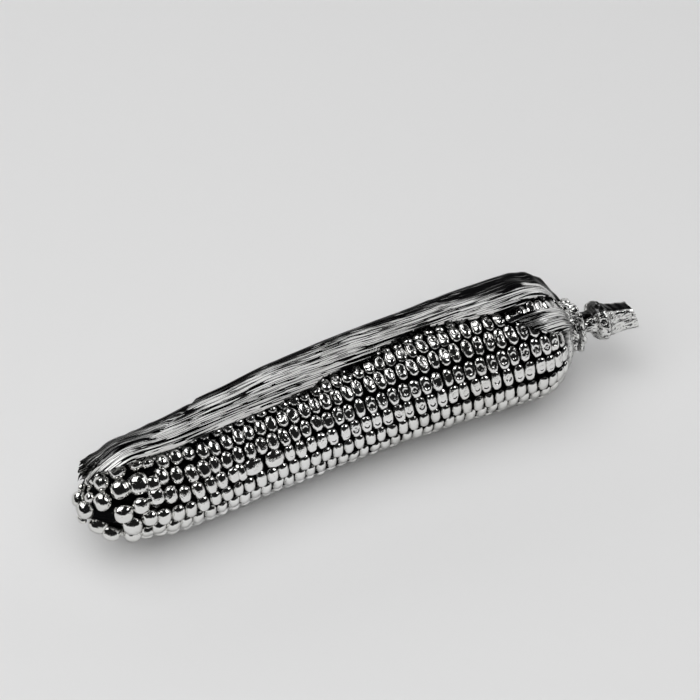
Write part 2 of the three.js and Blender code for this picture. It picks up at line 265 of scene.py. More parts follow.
@dataclass(frozen=True)
class EarForm:
    """Axis, radius and kernel rows of the ear, in millimetres and degrees."""

    length: float = 200.0
    tip_radius: float = 19.9
    butt_swell: float = 4.7
    swell_power: float = 2.4
    tip_dome_from: float = 30.0
    tip_dome_length: float = 33.5
    tip_lift: float = 3.3
    tip_lift_full: float = 14.0
    tip_lift_from: float = 38.0
    butt_dome_from: float = 184.0
    butt_dome_length: float = 20.0
    butt_face_radius: float = 8.9
    axis_bow: float = 4.2
    stalk_rise: float = 0.06
    stalk_step: float = 2.6
    stalk_step_from: float = 194.0
    stalk_step_end: float = 208.0
    stalk_lean: float = 0.055
    row_count: int = 18
    first_row_angle: float = -16.4
    twist: float = -0.0666
    cob_depth: float = 8.0
    cob_skin: float = 1.6
    cob_start: float = 22.0
    cob_end: float = 203.6
    origin: np.ndarray = field(default_factory=lambda: np.zeros(3), compare=False)

    @property
    def row_step(self) -> float:
        """Angle from one row of kernels to the next."""
        return 360.0 / self.row_count

    def body_radius(self, x: np.ndarray) -> np.ndarray:
        """Radius over the kernels without the rounded ends: a power law towards the butt."""
        share = np.clip(np.asarray(x, float) / self.butt_dome_from, 0.0, 1.0)
        return self.tip_radius + self.butt_swell * share ** self.swell_power

    def crown_radius(self, x: np.ndarray) -> np.ndarray:
        """Radius over the kernels: the body's radius times an ellipse's height at each end.

        Args:
            x: Place along the ear.

        Returns:
            The radius, at the butt no less than that of its flat face.
        """
        x = np.asarray(x, float)
        tip = np.maximum(0.0, self.tip_dome_from - x) / self.tip_dome_length
        butt = np.maximum(0.0, x - self.butt_dome_from) / self.butt_dome_length
        dome = self.body_radius(x) * np.sqrt(np.maximum(0.0, 1.0 - tip * tip - butt * butt))
        return np.where(x > self.butt_dome_from, np.maximum(dome, self.butt_face_radius), dome)

    def cob_radius(self, x: np.ndarray) -> np.ndarray:
        """Radius of the cob under the kernels."""
        return np.minimum(self.body_radius(x) - self.cob_depth, self.crown_radius(x) - self.cob_skin)

    def row_angle(self, row: np.ndarray, x: np.ndarray) -> np.ndarray:
        """Angle of a row at x: its place round the ear plus a slow even twist."""
        return self.first_row_angle + row * self.row_step + self.twist * (x - self.length / 2)

    def axis_height(self, x: np.ndarray) -> np.ndarray:
        """Height of the axis: every section's lowest row touches the floor, but the tip bends up.

        Args:
            x: Place along the ear.

        Returns:
            The body's radius times the sine of its lowest row's angle, plus the tip's lift and
            the stalk's rise.
        """
        x = np.asarray(x, float)
        body = np.clip(x, self.tip_dome_from, self.butt_dome_from)
        angles = self.row_angle(np.arange(self.row_count), body[..., None])
        lowest = (-np.sin(np.radians(angles))).max(-1)
        lift = self.tip_lift * smooth_step(x, self.tip_lift_from, self.tip_lift_full)
        rise = self.stalk_rise * np.maximum(0.0, x - self.butt_dome_from)
        return self.body_radius(body) * lowest + lift + rise

    def axis_side(self, x: np.ndarray) -> np.ndarray:
        """Sideways place of the axis: half a sine wave, then a step and a lean at the stalk.

        Args:
            x: Place along the ear.

        Returns:
            The place, positive towards the husk.
        """
        x = np.asarray(x, float)
        bow = self.axis_bow * np.sin(math.pi * np.clip(x / self.length, 0.0, 1.0))
        step = self.stalk_step * smooth_step(x, self.stalk_step_from, self.stalk_step_end)
        return bow - step - self.stalk_lean * np.maximum(0.0, x - self.stalk_step_end)

    def point(self, x: np.ndarray, angle: np.ndarray, radius: np.ndarray) -> np.ndarray:
        """Point at x, at an angle from -Y upward, and at a distance from the axis.

        Args:
            x: Place along the ear.
            angle: Angle round the ear.
            radius: Distance from the axis.

        Returns:
            Ear coordinates, with a last direction of three.
        """
        x, angle, radius = np.broadcast_arrays(*(np.asarray(v, float) for v in (x, angle, radius)))
        turn = np.radians(angle)
        side = self.axis_side(x) - radius * np.cos(turn)
        height = self.axis_height(x) + radius * np.sin(turn)
        return np.stack([x, side, height], -1)

    def stance(self, x: np.ndarray, angle: np.ndarray) -> tuple[np.ndarray, ...]:
        """Point on the crowns' surface with its directions along, around and out of the ear.

        Args:
            x: Place along the ear.
            angle: Angle round the ear.

        Returns:
            The point and three unit directions, found from small steps on the surface.
        """
        step = 0.05

        def surface(at_x: np.ndarray, at_angle: np.ndarray) -> np.ndarray:
            """Point on the surface over the crowns."""
            return self.point(at_x, at_angle, self.crown_radius(at_x))

        along = surface(x + step, angle) - surface(x - step, angle)
        around = surface(x, angle + step) - surface(x, angle - step)
        out = np.cross(along, around)
        unit = [v / np.linalg.norm(v, axis=-1, keepdims=True) for v in (along, out)]
        return surface(x, angle), unit[0], np.cross(unit[1], unit[0]), unit[1]

    def placed(self) -> "EarForm":
        """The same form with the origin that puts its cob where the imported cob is.

        Returns:
            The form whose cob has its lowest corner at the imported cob's.
        """
        stations, spacing = 400, 15.0
        x = np.linspace(self.cob_start, self.cob_end, stations)[:, None]
        angle = np.arange(0.0, 360.0, spacing)
        cob = self.point(x, angle, self.cob_radius(x)).reshape(-1, 3)
        low = np.array(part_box("cob")[0]) / MM
        return EarForm(origin=low - cob.min(0))


# ---------------------------------------------------------------- shader tools

class Value:
    """A shader socket that can stand in sums, products and powers."""

    def __init__(self, bench: "Bench", socket: bpy.types.NodeSocket) -> None:
        """Wrap a socket.

        Args:
            bench: The bench whose node tree the socket is in.
            socket: The output socket.
        """
        self.bench = bench
        self.socket = socket

    def _maths(self, operation: str, *terms: Any) -> "Value":
        """Add one Math node on the given terms."""
        return self.bench.node("ShaderNodeMath", {"operation": operation}, dict(enumerate(terms)))

    def __add__(self, other: Any) -> "Value":
        """Sum."""
        return self._maths("ADD", self, other)

    __radd__ = __add__

    def __sub__(self, other: Any) -> "Value":
        """Difference."""
        return self._maths("SUBTRACT", self, other)

    def __rsub__(self, other: Any) -> "Value":
        """Difference from a number."""
        return self._maths("SUBTRACT", other, self)

    def __mul__(self, other: Any) -> "Value":
        """Product."""
        return self._maths("MULTIPLY", self, other)

    __rmul__ = __mul__

    def __pow__(self, other: Any) -> "Value":
        """Power."""
        return self._maths("POWER", self, other)

    def most(self, other: Any) -> "Value":
        """The larger of two values."""
        return self._maths("MAXIMUM", self, other)

    def rise(self, low: float, high: float) -> "Value":
        """0 below low, 1 above high, eased between them.

        Args:
            low: Value at which the rise starts.
            high: Value at which the rise ends; if it lies below low, the result falls instead.

        Returns:
            The eased share.
        """
        settings = {"interpolation_type": "SMOOTHSTEP"}
        if low > high:
            return 1.0 - self.rise(high, low)
        return self.bench.node("ShaderNodeMapRange", settings, {"Value": self, 1: low, 2: high})


class Bench:
    """Builds one material's nodes."""

    # sockets of a Mix node set to colours: share, first and second colour, and its result
    MIX_INPUTS = (0, 6, 7)
    MIX_OUTPUT = 2

    def __init__(self, tree: bpy.types.NodeTree) -> None:
        """Take an emptied node tree.

        Args:
            tree: The tree that the nodes go into.
        """
        self.tree = tree
        tree.nodes.clear()

    def node(self, kind: str, settings: dict[str, Any], inputs: dict[Any, Any],
             output: Any = 0) -> Value:
        """Add a node: its settings first, then the values or links of its sockets.

        Args:
            kind: Node type.
            settings: Attributes of the node, such as a Math node's operation.
            inputs: Values or linked sockets by socket name or index.
            output: Name or index of the output that is returned.

        Returns:
            The chosen output.
        """
        node = self.tree.nodes.new(kind)
        for name, value in settings.items():
            setattr(node, name, value)
        for key, value in inputs.items():
            if isinstance(value, Value):
                self.tree.links.new(value.socket, node.inputs[key])
            else:
                node.inputs[key].default_value = value
        return Value(self, node.outputs[output])

    def attribute(self, name: str) -> Value:
        """Number stored on the mesh under a name."""
        return self.node("ShaderNodeAttribute", {"attribute_name": name}, {}, "Fac")

    def place(self) -> Value:
        """Object coordinates."""
        return self.node("ShaderNodeTexCoord", {}, {}, "Object")

    def stretched(self, vector: Value, scale: tuple[float, float, float]) -> Value:
        """Vector times a scale for each direction."""
        return self.node("ShaderNodeVectorMath", {"operation": "MULTIPLY"}, {0: vector, 1: scale})

    def noise(self, vector: Value, scale: float, detail: float = 3.0,
              roughness: float = 0.55) -> Value:
        """Noise between 0 and 1 on a vector."""
        inputs = {"Vector": vector, "Scale": scale, "Detail": detail, "Roughness": roughness}
        return self.node("ShaderNodeTexNoise", {}, inputs, "Fac")

    def streaks(self, vector: Value, cells: Cells, detail: float, roughness: float) -> Value:
        """Noise with its own number of cells in each direction."""
        return self.noise(self.stretched(vector, cells), 1.0, detail, roughness)

    def blend(self, share: Any, first: Any, second: Any) -> Value:
        """Colour between two colours."""
        inputs = dict(zip(self.MIX_INPUTS, (share, first, second)))
        return self.node("ShaderNodeMix", {"data_type": "RGBA"}, inputs, self.MIX_OUTPUT)

    def bump(self, height: Value, depth: float, under: Value | None = None) -> Value:
        """Normal bent by a height, over an earlier bump if one is given.

        Args:
            height: Share of the depth, from 0 to 1.
            depth: Height of the bumps in metres.
            under: The earlier bump's normal.

        Returns:
            The bent normal.
        """
        inputs: dict[str, Any] = {"Height": height, "Strength": 1.0, "Distance": depth}
        if under is not None:
            inputs["Normal"] = under
        return self.node("ShaderNodeBump", {}, inputs, "Normal")

    def finish(self, shader: Value, output: str = "ShaderNodeOutputMaterial") -> None:
        """Link a shader to a new output node.

        Args:
            shader: The finished shader.
            output: Type of the output node.
        """
        target = self.tree.nodes.new(output)
        self.tree.links.new(shader.socket, target.inputs["Surface"])


@dataclass(frozen=True)
class Metal:
    """Bright metal darkened by patina in its recesses and by painted shade; the common part of every
    finish.

    Scales of noise are in cells per metre, or per unit of the leaf's own map. A range is the
    pair of values between which something rises or falls.
    """

    name: str
    slot: str
    bright: Colour = (0.93, 0.93, 0.92, 1.0)
    dark: Colour = (0.006, 0.006, 0.0065, 1.0)
    rim: Colour = (0.5, 0.5, 0.5, 1.0)
    polish: float = 0.05
    dull: float = 0.42
    metallic: float = 1.0
    wear: float = 0.05
    wear_scale: float = 90.0
    cloud_scale: float = 22.0
    cloud_range: Range = (0.35, 0.75)
    cloud_shares: tuple[float, float, float] = (0.86, 0.855, 0.84)

    def material(self) -> bpy.types.Material:
        """Make the material.

        Returns:
            The material with all its nodes.
        """
        material = bpy.data.materials.new(self.name)
        material.use_nodes = True
        bench = Bench(material.node_tree)
        patina_and_shade, normal = self.relief(bench)
        wear = bench.noise(bench.place(), self.wear_scale, 4.0)
        all_metal = self.metallic == 1.0
        inputs = {
            # the dark colour stands for patina and for painted shade
            "Base Color": bench.blend(patina_and_shade, self.tint(bench), self.dark),
            "Roughness": self.polish + wear * self.wear + patina_and_shade * (self.dull - self.polish),
            "Metallic": 1.0 if all_metal else self.metallic + patina_and_shade * (1.0 - self.metallic),
            "Specular Tint": self.rim,
            "Normal": normal,
        }
        bench.finish(bench.node("ShaderNodeBsdfPrincipled", {}, inputs, "BSDF"))
        return material

    def tint(self, bench: Bench) -> Value:
        """Colour of the bright metal, a little uneven from place to place.

        Args:
            bench: The bench that the nodes are made on.

        Returns:
            The colour.
        """
        cloud = bench.noise(bench.place(), self.cloud_scale, 2.0)
        clouded = tuple(channel * share for channel, share in zip(self.bright, self.cloud_shares))
        return bench.blend(cloud.rise(*self.cloud_range), self.bright, clouded + (1.0,))

    def relief(self, bench: Bench) -> tuple[Value, Value]:
        """Share of patina and painted shade, and the bent normal.

        Args:
            bench: The bench that the nodes are made on.

        Returns:
            The share of patina and painted shade between 0 and 1, and the normal.
        """
        raise NotImplementedError


@dataclass(frozen=True)
class KernelMetal(Metal):
    """Mirror-bright crowns with patina creeping up the sides from the gaps, which also paints the shade
    in them.
    """

    edge: Range = (0.17, 0.27)
    unevenness: float = 0.10
    uneven_scale: float = 420.0
    ripple_scale: float = 300.0
    ripple_depth: float = 0.0004
    ring_squash: float = 0.7
    ring_range: Range = (1.5, 0.8)
    dimple_range: Range = (0.25, 0.7)
    ring_depth: float = 0.0004
    pit_scale: float = 1500.0
    pit_range: Range = (0.62, 0.78)
    pit_depth: float = 0.00003
    pit_patina: float = 0.25

    def relief(self, bench: Bench) -> tuple[Value, Value]:
        """Patina grows with depth below the crown, with an uneven upper edge, and paints the shade
        between the kernels.

        The normal is bent by a soft ripple, by a ring round each dimple and by fine pits.

        Args:
            bench: The bench that the nodes are made on.

        Returns:
            The share of patina between 0 and 1, and the normal.
        """
        place = bench.place()
        uneven = bench.noise(place, self.uneven_scale) - 0.5
        patina_and_shade = (bench.attribute("depth") + uneven * self.unevenness).rise(*self.edge)
        pits = bench.noise(place, self.pit_scale, 2.0).rise(*self.pit_range)
        long, wide = bench.attribute("crown_long"), bench.attribute("crown_wide")
        away = (long * long + wide * wide * self.ring_squash) ** 0.5
        ring = away.rise(*self.ring_range) * bench.attribute("dimple").rise(*self.dimple_range)
        normal = bench.bump(bench.noise(place, self.ripple_scale), self.ripple_depth)
        normal = bench.bump(1.0 - ring, self.ring_depth, normal)
        normal = bench.bump(1.0 - pits, self.pit_depth, normal)
        return (patina_and_shade + pits * self.pit_patina).rise(0.0, 1.0), normal


@dataclass(frozen=True)
class HuskMetal(Metal):
    """Fine veins along the leaf: bright ridges and black lines, with painted shade in places."""

    broad_cells: Cells = (3.0, 85.0, 1.0)
    fine_cells: Cells = (7.0, 200.0, 1.0)
    speck_cells: Cells = (120.0, 330.0, 1.0)
    line_cells: Cells = (2.2, 70.0, 1.0)
    hair_cells: Cells = (4.5, 150.0, 1.0)
    line_range: Range = (0.0018, 0.0008)
    hair_share: float = 0.75
    groove_range: Range = (0.34, 0.30)
    vein_range: Range = (0.78, 0.92)
    speck_range: Range = (0.55, 0.75)
    speck_share: float = 0.15
    thread_range: Range = (0.60, 0.66)
    thread_calm: float = 0.5
    thread_share: float = 0.8
    patina_range: Range = (0.1, 0.9)
    calm_share: float = 0.85
    broad_depth: float = 0.0004
    fine_depth: float = 0.00016
    speck_depth: float = 0.00005

    def relief(self, bench: Bench) -> tuple[Value, Value]:
        """Lines of two widths stretched along the leaf's own map, and bright threads through the painted
        shade.

        A line runs where its noise is close to its middle value, so that it keeps one width.

        Args:
            bench: The bench that the nodes are made on.

        Returns:
            The share of patina and painted shade between 0 and 1, and the normal.
        """
        leaf = bench.node("ShaderNodeUVMap", {"uv_map": "leaf"}, {}, "UV")
        broad = bench.streaks(leaf, self.broad_cells, 2.0, 0.6)
        fine = bench.streaks(leaf, self.fine_cells, 2.0, 0.6)
        speck = bench.streaks(leaf, self.speck_cells, 2.0, 0.55)
        line = bench.streaks(leaf, self.line_cells, 1.0, 0.5) - 0.5
        hair = bench.streaks(leaf, self.hair_cells, 1.0, 0.5) - 0.5
        vein, calm, shade = (bench.attribute(name) for name in ("vein", "calm", "shade"))
        hairs = (hair * hair).rise(*self.line_range) * self.hair_share
        lines = (line * line).rise(*self.line_range).most(hairs)
        lines = lines.most(broad.rise(*self.groove_range)).most(vein.rise(*self.vein_range))
        specks = speck.rise(*self.speck_range) * (1.0 - calm) * self.speck_share
        lines = lines * (1.0 - calm) + specks
        threads = fine.rise(*self.thread_range) * (1.0 - calm * self.thread_calm)
        # shade is painted shade, with bright threads left in it
        patina_and_shade = (lines + shade - threads * shade * self.thread_share).rise(*self.patina_range)
        rough = 1.0 - calm * self.calm_share
        normal = bench.bump(broad * rough, self.broad_depth)
        normal = bench.bump(fine * rough, self.fine_depth, normal)
        normal = bench.bump(speck * rough, self.speck_depth, normal)
        return patina_and_shade, normal


@dataclass(frozen=True)
class FibreMetal(Metal):
    """Cast fibres and pits of the stalk and its collar, with painted shade on their tops and other
    darker places.
    """

    stretch: Cells = (110.0, 900.0, 900.0)
    pit_scale: float = 700.0
    fibre_range: Range = (0.46, 0.38)
    pit_range: Range = (0.44, 0.36)
    clear_range: Range = (0.2, 0.7)
    line_share: float = 0.8
    patina_range: Range = (0.1, 0.9)
    fibre_depth: float = 0.00035
    pit_depth: float = 0.00025

    def relief(self, bench: Bench) -> tuple[Value, Value]:
        """Fibres along x and pits, both darkened where they are deep; smooth where painted shade and the
        other dark places make it black.

        Args:
            bench: The bench that the nodes are made on.

        Returns:
            The share of patina between 0 and 1, and the normal.
        """
        place = bench.place()
        fibre = bench.streaks(place, self.stretch, 3.0, 0.6)
        pits = bench.noise(place, self.pit_scale, 3.0, 0.6)
        # the depth mark holds painted shade on the upper side, and the darker groove, scar and gaps
        # between strands
        shade = bench.attribute("depth")
        lines = fibre.rise(*self.fibre_range).most(pits.rise(*self.pit_range))
        clear = 1.0 - shade.rise(*self.clear_range)
        patina_and_shade = (lines * self.line_share * clear + shade).rise(*self.patina_range)
        normal = bench.bump(fibre * clear, self.fibre_depth)
        return patina_and_shade, bench.bump(pits * clear, self.pit_depth, normal)


@dataclass(frozen=True)
class RecessMetal(Metal):
    """Metal between and behind the kernels, almost black with patina and painted shade, bare at the
    butt.
    """

    lump_scale: float = 380.0
    lump_range: Range = (0.85, 0.6)
    lump_depth: float = 0.0008
    pit_scale: float = 900.0
    pit_range: Range = (0.56, 0.66)
    pit_share: float = 0.7

    def relief(self, bench: Bench) -> tuple[Value, Value]:
        """Almost all patina and painted shade, with a few rubbed spots, over a lumpy ground.

        Args:
            bench: The bench that the nodes are made on.

        Returns:
            The share of patina and painted shade between 0 and 1, and the normal.
        """
        place = bench.place()
        lumps = bench.noise(place, self.lump_scale)
        pits = bench.noise(place, self.pit_scale, 2.0).rise(*self.pit_range)
        bare = bench.attribute("bare")
        patina_and_shade = lumps.rise(*self.lump_range) - bare + bare * pits * self.pit_share
        return patina_and_shade.rise(0.0, 1.0), bench.bump(lumps, self.lump_depth)


@dataclass(frozen=True)
class Paper:
    """Smooth pale paper of the studio floor."""

    colour: Colour = (0.80, 0.80, 0.80, 1.0)
    roughness: float = 0.85
    tooth_scale: float = 900.0
    tooth_depth: float = 0.00002

    def material(self) -> bpy.types.Material:
        """Make the floor's material.

        Returns:
            A matt material with a faint tooth.
        """
        material = bpy.data.materials.new("floor_paper")
        material.use_nodes = True
        bench = Bench(material.node_tree)
        tooth = bench.noise(bench.place(), self.tooth_scale, 2.0)
        inputs = {
            "Base Color": self.colour,
            "Roughness": self.roughness,
            "Normal": bench.bump(tooth, self.tooth_depth),
        }
        bench.finish(bench.node("ShaderNodeBsdfPrincipled", {}, inputs, "BSDF"))
        return material


# ---------------------------------------------------------------- pieces

@dataclass
class Piece:
    """A finished mesh with what it stands for."""

    name: str
    points: np.ndarray
    faces: list[list[int]]
    metal: Metal
    replaces: tuple[str, ...] = ()
    marks: dict[str, np.ndarray] = field(default_factory=dict)
    leaf_map: np.ndarray | None = None
    subdivisions: int = 0


class Workshop:
    """Puts pieces into the scene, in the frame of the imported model."""

    def __init__(self, form: EarForm) -> None:
        """Start with no materials made.

        Args:
            form: The ear's form, which holds the origin of its coordinates.
        """
        self.form = form
        self.materials: dict[str, bpy.types.Material] = {}

    def dressed(self, metal: Metal) -> bpy.types.Material:
        """The finish's material, made once.

        Args:
            metal: The finish.

        Returns:
            Its material.
        """
        if metal.name not in self.materials:
            self.materials[metal.name] = metal.material()
        return self.materials[metal.name]

    def add(self, piece: Piece) -> None:
        """Make the piece's object, dress it and tie it to the model.

        Args:
            piece: The piece, in ear coordinates.
        """
        mesh = bpy.data.meshes.new(piece.name)
        points = (piece.points.reshape(-1, 3) + self.form.origin) * MM
        mesh.from_pydata(points.tolist(), [], piece.faces)
        mesh.polygons.foreach_set("use_smooth", np.ones(len(mesh.polygons), bool))
        for name, values in piece.marks.items():
            mark = mesh.attributes.new(name, "FLOAT", "POINT")
            mark.data.foreach_set("value", np.asarray(values, np.float32).ravel())
        if piece.leaf_map is not None:
            corner = np.empty(len(mesh.loops), np.int32)
            mesh.loops.foreach_get("vertex_index", corner)
            layer = mesh.uv_layers.new(name="leaf")
            at_corners = piece.leaf_map.reshape(-1, 2)[corner]
            layer.data.foreach_set("uv", at_corners.astype(np.float32).ravel())
        mesh.materials.append(self.dressed(piece.metal))
        mesh.validate()
        item = bpy.data.objects.new(piece.name, mesh)
        bpy.context.scene.collection.objects.link(item)
        if piece.subdivisions:
            finer = item.modifiers.new("finer", "SUBSURF")
            finer.levels = finer.render_levels = piece.subdivisions
        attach(item, BODY)
        if piece.replaces:
            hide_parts(*piece.replaces)
        log.info("%s: %d faces", piece.name, len(mesh.polygons))


@dataclass
class Kernels:
    """All kernels: rows along the ear and the round ones of the tip."""

    form: EarForm
    shop: Workshop
    metal: Metal = KernelMetal("kernel_metal", "kernels")
    seed: int = 11
    start: float = 21.0
    end: float = 196.2
    pitch: float = 4.55
    tip_pitch: float = 1.4
    height: float = 3.2
    fill_long: float = 0.53
    fill_wide: float = 0.54
    roundness: float = 2.15
    swell: float = 1.15
    tip_pitch_fade: float = 18.0
    course_points: int = 1500
    # place of one kernel in the hidden rows, give or take
    hidden_rows: tuple[float, float] = (100.0, 2.3)
    long_row: int = 2
    long_overlap: float = 1.7
    # random unevenness: share of the spacing, degrees, share of the size, and radians
    step_noise: float = 0.03
    angle_noise: float = 0.4
    size_noise: float = 0.03
    lean: float = 0.055
    tip_lean: float = 0.05
    tip_place_noise: float = 0.15
    lift_noise: float = 0.12
    # share by which the underside narrows, and the dimple's reach, wander and steepness
    narrowing: float = 0.2
    dimple_reach: float = 0.62
    dimple_wander: float = 0.12
    dimple_power: float = 1.3
    ring_wander: float = 2.5
    butt_range: Range = (186.0, 199.0)
    butt_lowering: float = 0.15
    # depth of the dimples: where deep ones set in, and the shallow ones of the rest
    dent_range: Range = (50.0, 125.0)
    deep_dents: Range = (0.3, 0.95)
    shallow_dents: Range = (0.0, 0.3)
    dent_start: float = 30.0
    smooth_rows: int = 2
    smooth_share: float = 0.25
    # how much of the patina and painted shade is left out near the tip, and how far that reaches
    tip_clearing: float = 0.5
    clearing_reach: float = 28.0
    tip_roundness: float = 2.1
    tip_stretch: tuple[float, float, float] = (1.03, 1.05, 0.98)
    tip_depth_share: float = 0.34
    # place of one kernel near mid length in the rows of the open side, first row upward
    open_rows: tuple[float, ...] = (98.2, 100.4, 99.5, 98.9, 100.9)
    # kernels of the third row with a length of their own, two of them long: place and length
    long_kernels: tuple[tuple[float, float], ...] = ((56.2, 4.6), (61.7, 8.2), (70.3, 8.0))
    # swing of some rows near the tip, and over the far half: degrees, middle and width
    tip_swings: dict[int, tuple[float, float, float]] = field(default_factory=lambda: {
        0: (-5.0, 26.0, 9.0), 1: (-3.5, 26.0, 10.0), 2: (6.5, 24.0, 6.0), 3: (9.5, 27.0, 8.0),
        4: (9.0, 34.0, 8.0), 5: (6.0, 40.0, 9.0),
    })
    far_swings: dict[int, tuple[float, float, float]] = field(default_factory=lambda: {
        1: (-3.0, 170.0, 18.0), 4: (2.5, 130.0, 40.0), 5: (2.5, 140.0, 40.0),
    })
    # where some rows begin, short of the tip's round kernels
    starts: dict[int, float] = field(default_factory=lambda: {
        0: 19.6, 1: 15.4, 2: 19.6, 3: 25.0, 4: 28.5,
    })
    # kernels of the tip on the open side: place, angle, radius and how far it stands out
    tip_open: tuple[tuple[float, float, float, float], ...] = (
        (4.9, 94, 3.2, 0), (9.8, 62, 3.7, 0), (17.6, 58, 4.1, 0), (22.8, 52, 2.9, 0), (2.3, 58, 3.7, 0),
        (8.3, 22, 3.7, 0), (15.7, 28, 3.3, 0), (-3.4, 67, 3.4, 1.5), (-2.2, 149, 3.0, 2.4),
        (-0.9, 92, 2.0, 0), (-0.6, -50, 3.7, 0.5), (3.9, -45, 3.7, 1.0), (11.1, -6, 3.8, 0),
        (11.1, -36, 3.8, 0.8), (0.4, 146, 1.8, 1.0), (-3.4, -82, 1.6, 2.0), (-3.2, -54, 1.4, 1.5),
        (12.0, 90, 3.2, 0), (16.5, -24, 2.8, 0), (19.4, 84, 2.8, 0), (24.0, 80, 2.6, 0),
    )
    # rings of the far side: place, radius, first angle, last angle, count
    tip_rings: tuple[tuple[float, float, float, float, int], ...] = (
        (17.2, 3.4, 104, 312, 10), (11.2, 3.9, 112, 294, 7), (4.8, 3.9, 124, 272, 4),
        (0.2, 3.3, 176, 236, 2),
    )

    def __post_init__(self) -> None:
        """Draw the random numbers' source and the shared pillow."""
        self.random = np.random.default_rng(self.seed)
        self.pillow, self.squares = box_grid((3, 4, 2))

    def wander(self, row: int, x: np.ndarray) -> np.ndarray:
        """Swing of a row from its even course: one bell near the tip and one over the far half.

        Args:
            row: Number of the row.
            x: Places along the ear.

        Returns:
            The angle added to the row's own, in degrees.
        """
        swing = np.zeros_like(x)
        for table in (self.tip_swings, self.far_swings):
            height, middle, width = table.get(row, (0.0, 0.0, 1.0))
            swing = swing + height * hump(x, middle, width)
        return swing

    def places(self, row: int) -> tuple[np.ndarray, np.ndarray]:
        """Middles of one row's kernels and the room that each has along the row.

        Args:
            row: Number of the row.

        Returns:
            Places along the ear and lengths, spaced evenly along the curved surface.
        """
        x = np.linspace(self.starts.get(row, self.start), self.end, self.course_points)
        slope = np.gradient(self.form.crown_radius(x), x)
        pitch = self.pitch + self.tip_pitch * np.exp(-(x - self.start) / self.tip_pitch_fade)
        per_length = np.sqrt(1 + slope ** 2) / pitch
        travel = np.concatenate([[0.0], np.cumsum(per_length[1:] * np.diff(x))])
        if row < len(self.open_rows):
            anchor = self.open_rows[row]
        else:
            middle_place, spread = self.hidden_rows
            anchor = middle_place + self.random.uniform(-spread, spread)
        phase = np.interp(anchor, x, travel) % 1.0
        steps = np.arange(phase, travel[-1], 1.0)
        steps = steps + self.random.normal(0.0, self.step_noise, steps.size)
        middle = np.interp(steps, travel, x)
        room = np.interp(middle, x, pitch)
        if row == self.long_row:
            for place, length in self.long_kernels:
                keep = np.abs(middle - place) > (length + self.pitch) / 2 - self.long_overlap
                middle = np.append(middle[keep], place)
                room = np.append(room[keep], length)
        return middle, room

    def pillows(self, x: np.ndarray, angle: np.ndarray, size: np.ndarray, dent: np.ndarray,
                stand: np.ndarray, roundness: float,
                lean: float) -> tuple[np.ndarray, dict[str, np.ndarray]]:
        """Kernels as pillows: a cube's points divided by their p-norm, so that x^p + y^p + z^p = 1.

        Args:
            x: Places along the ear.
            angle: Angles round the ear.
            size: Half length, half width and half height of each.
            dent: Depth of the dimple in each crown.
            stand: How far each crown stands out of the ear's surface.
            roundness: The power p: 2 is a ball, more is squarer.
            lean: Spread of the random turning and tipping, in radians.

        Returns:
            Points of each kernel, and for each point the share of the depth below the crown, the
            place on the crown and the strength of the dimple.
        """
        powers = (np.abs(self.pillow) ** roundness).sum(-1, keepdims=True)
        unit = self.pillow / powers ** (1 / roundness)
        count = len(x)
        local = unit[None] * size[:, None, :] * self.swell
        local[..., 1] *= 1.0 - self.narrowing * np.maximum(0.0, -unit[None, :, 2])
        shift = self.random.normal(0.0, self.dimple_wander, (2, count, 1))
        away_long = unit[None, :, 0] / self.dimple_reach - shift[0]
        away_wide = unit[None, :, 1] / self.dimple_reach - shift[1]
        dip = np.exp(-(away_long ** 2 + away_wide ** 2) ** self.dimple_power)
        local[..., 2] -= dent[:, None] * dip * (unit[None, :, 2] > 0)
        turn, tip_long, tip_wide = self.random.normal(0.0, lean, (3, count, 1))
        long_side = local[..., 0] * np.cos(turn) - local[..., 1] * np.sin(turn)
        wide_side = local[..., 0] * np.sin(turn) + local[..., 1] * np.cos(turn)
        high_side = local[..., 2] + tip_long * local[..., 0] + tip_wide * local[..., 1]
        lift = self.random.normal(0.0, self.lift_noise, (count, 1)) - size[:, 2:3] + stand[:, None]
        point, along, around, out = (v[:, None, :] for v in self.form.stance(x, angle))
        moved = (point + along * long_side[..., None] + around * wide_side[..., None]
                 + out * (high_side + lift)[..., None])
        marks = {
            "depth": np.ones((count, 1)) * (1.0 - unit[None, :, 2]) / 2.0,
            "crown_long": local[..., 0] - shift[0] * self.ring_wander,
            "crown_wide": local[..., 1] - shift[1] * self.ring_wander,
            "dimple": dent[:, None] * np.ones(len(unit)),
        }
        return moved, marks

    def faces(self, count: int) -> list[list[int]]:
        """The pillow's squares repeated for each kernel."""
        shift = np.arange(count)[:, None, None] * len(self.pillow)
        return (self.squares[None] + shift).reshape(-1, 4).tolist()

    def add_row(self, row: int) -> None:
        """Make one row of kernels.

        Args:
            row: Number of the row, from 0.
        """
        x, room = self.places(row)
        angle = self.form.row_angle(row, x) + self.wander(row, x)
        angle = angle + self.random.normal(0.0, self.angle_noise, x.size)
        wide = self.form.crown_radius(x) * math.radians(self.form.row_step) * self.fill_wide
        long = room * self.fill_long
        height = self.height * (1.0 - self.butt_lowering * smooth_step(x, *self.butt_range))
        size = np.stack([long, wide, height], -1)
        size *= 1.0 + self.random.normal(0.0, self.size_noise, size.shape)
        dent = smooth_step(x, *self.dent_range) * self.random.uniform(*self.deep_dents, x.size)
        dent += self.random.uniform(*self.shallow_dents, x.size) * (x > self.dent_start)
        if row < self.smooth_rows:
            dent *= self.smooth_share
        flush = np.zeros_like(x)
        points, marks = self.pillows(x, angle, size, dent, flush, self.roundness, self.lean)
        # darkening by depth below the crown: patina, and painted shade in the gaps
        clearing = self.tip_clearing * np.exp(-(x[:, None] - self.start) / self.clearing_reach)
        marks["depth"] = marks["depth"] * (1.0 - clearing)
        name = f"kernel_row_{row + 1:02d}"
        self.shop.add(Piece(f"{name}_kernels", points, self.faces(len(x)), self.metal, (name,),
                            marks, subdivisions=1))

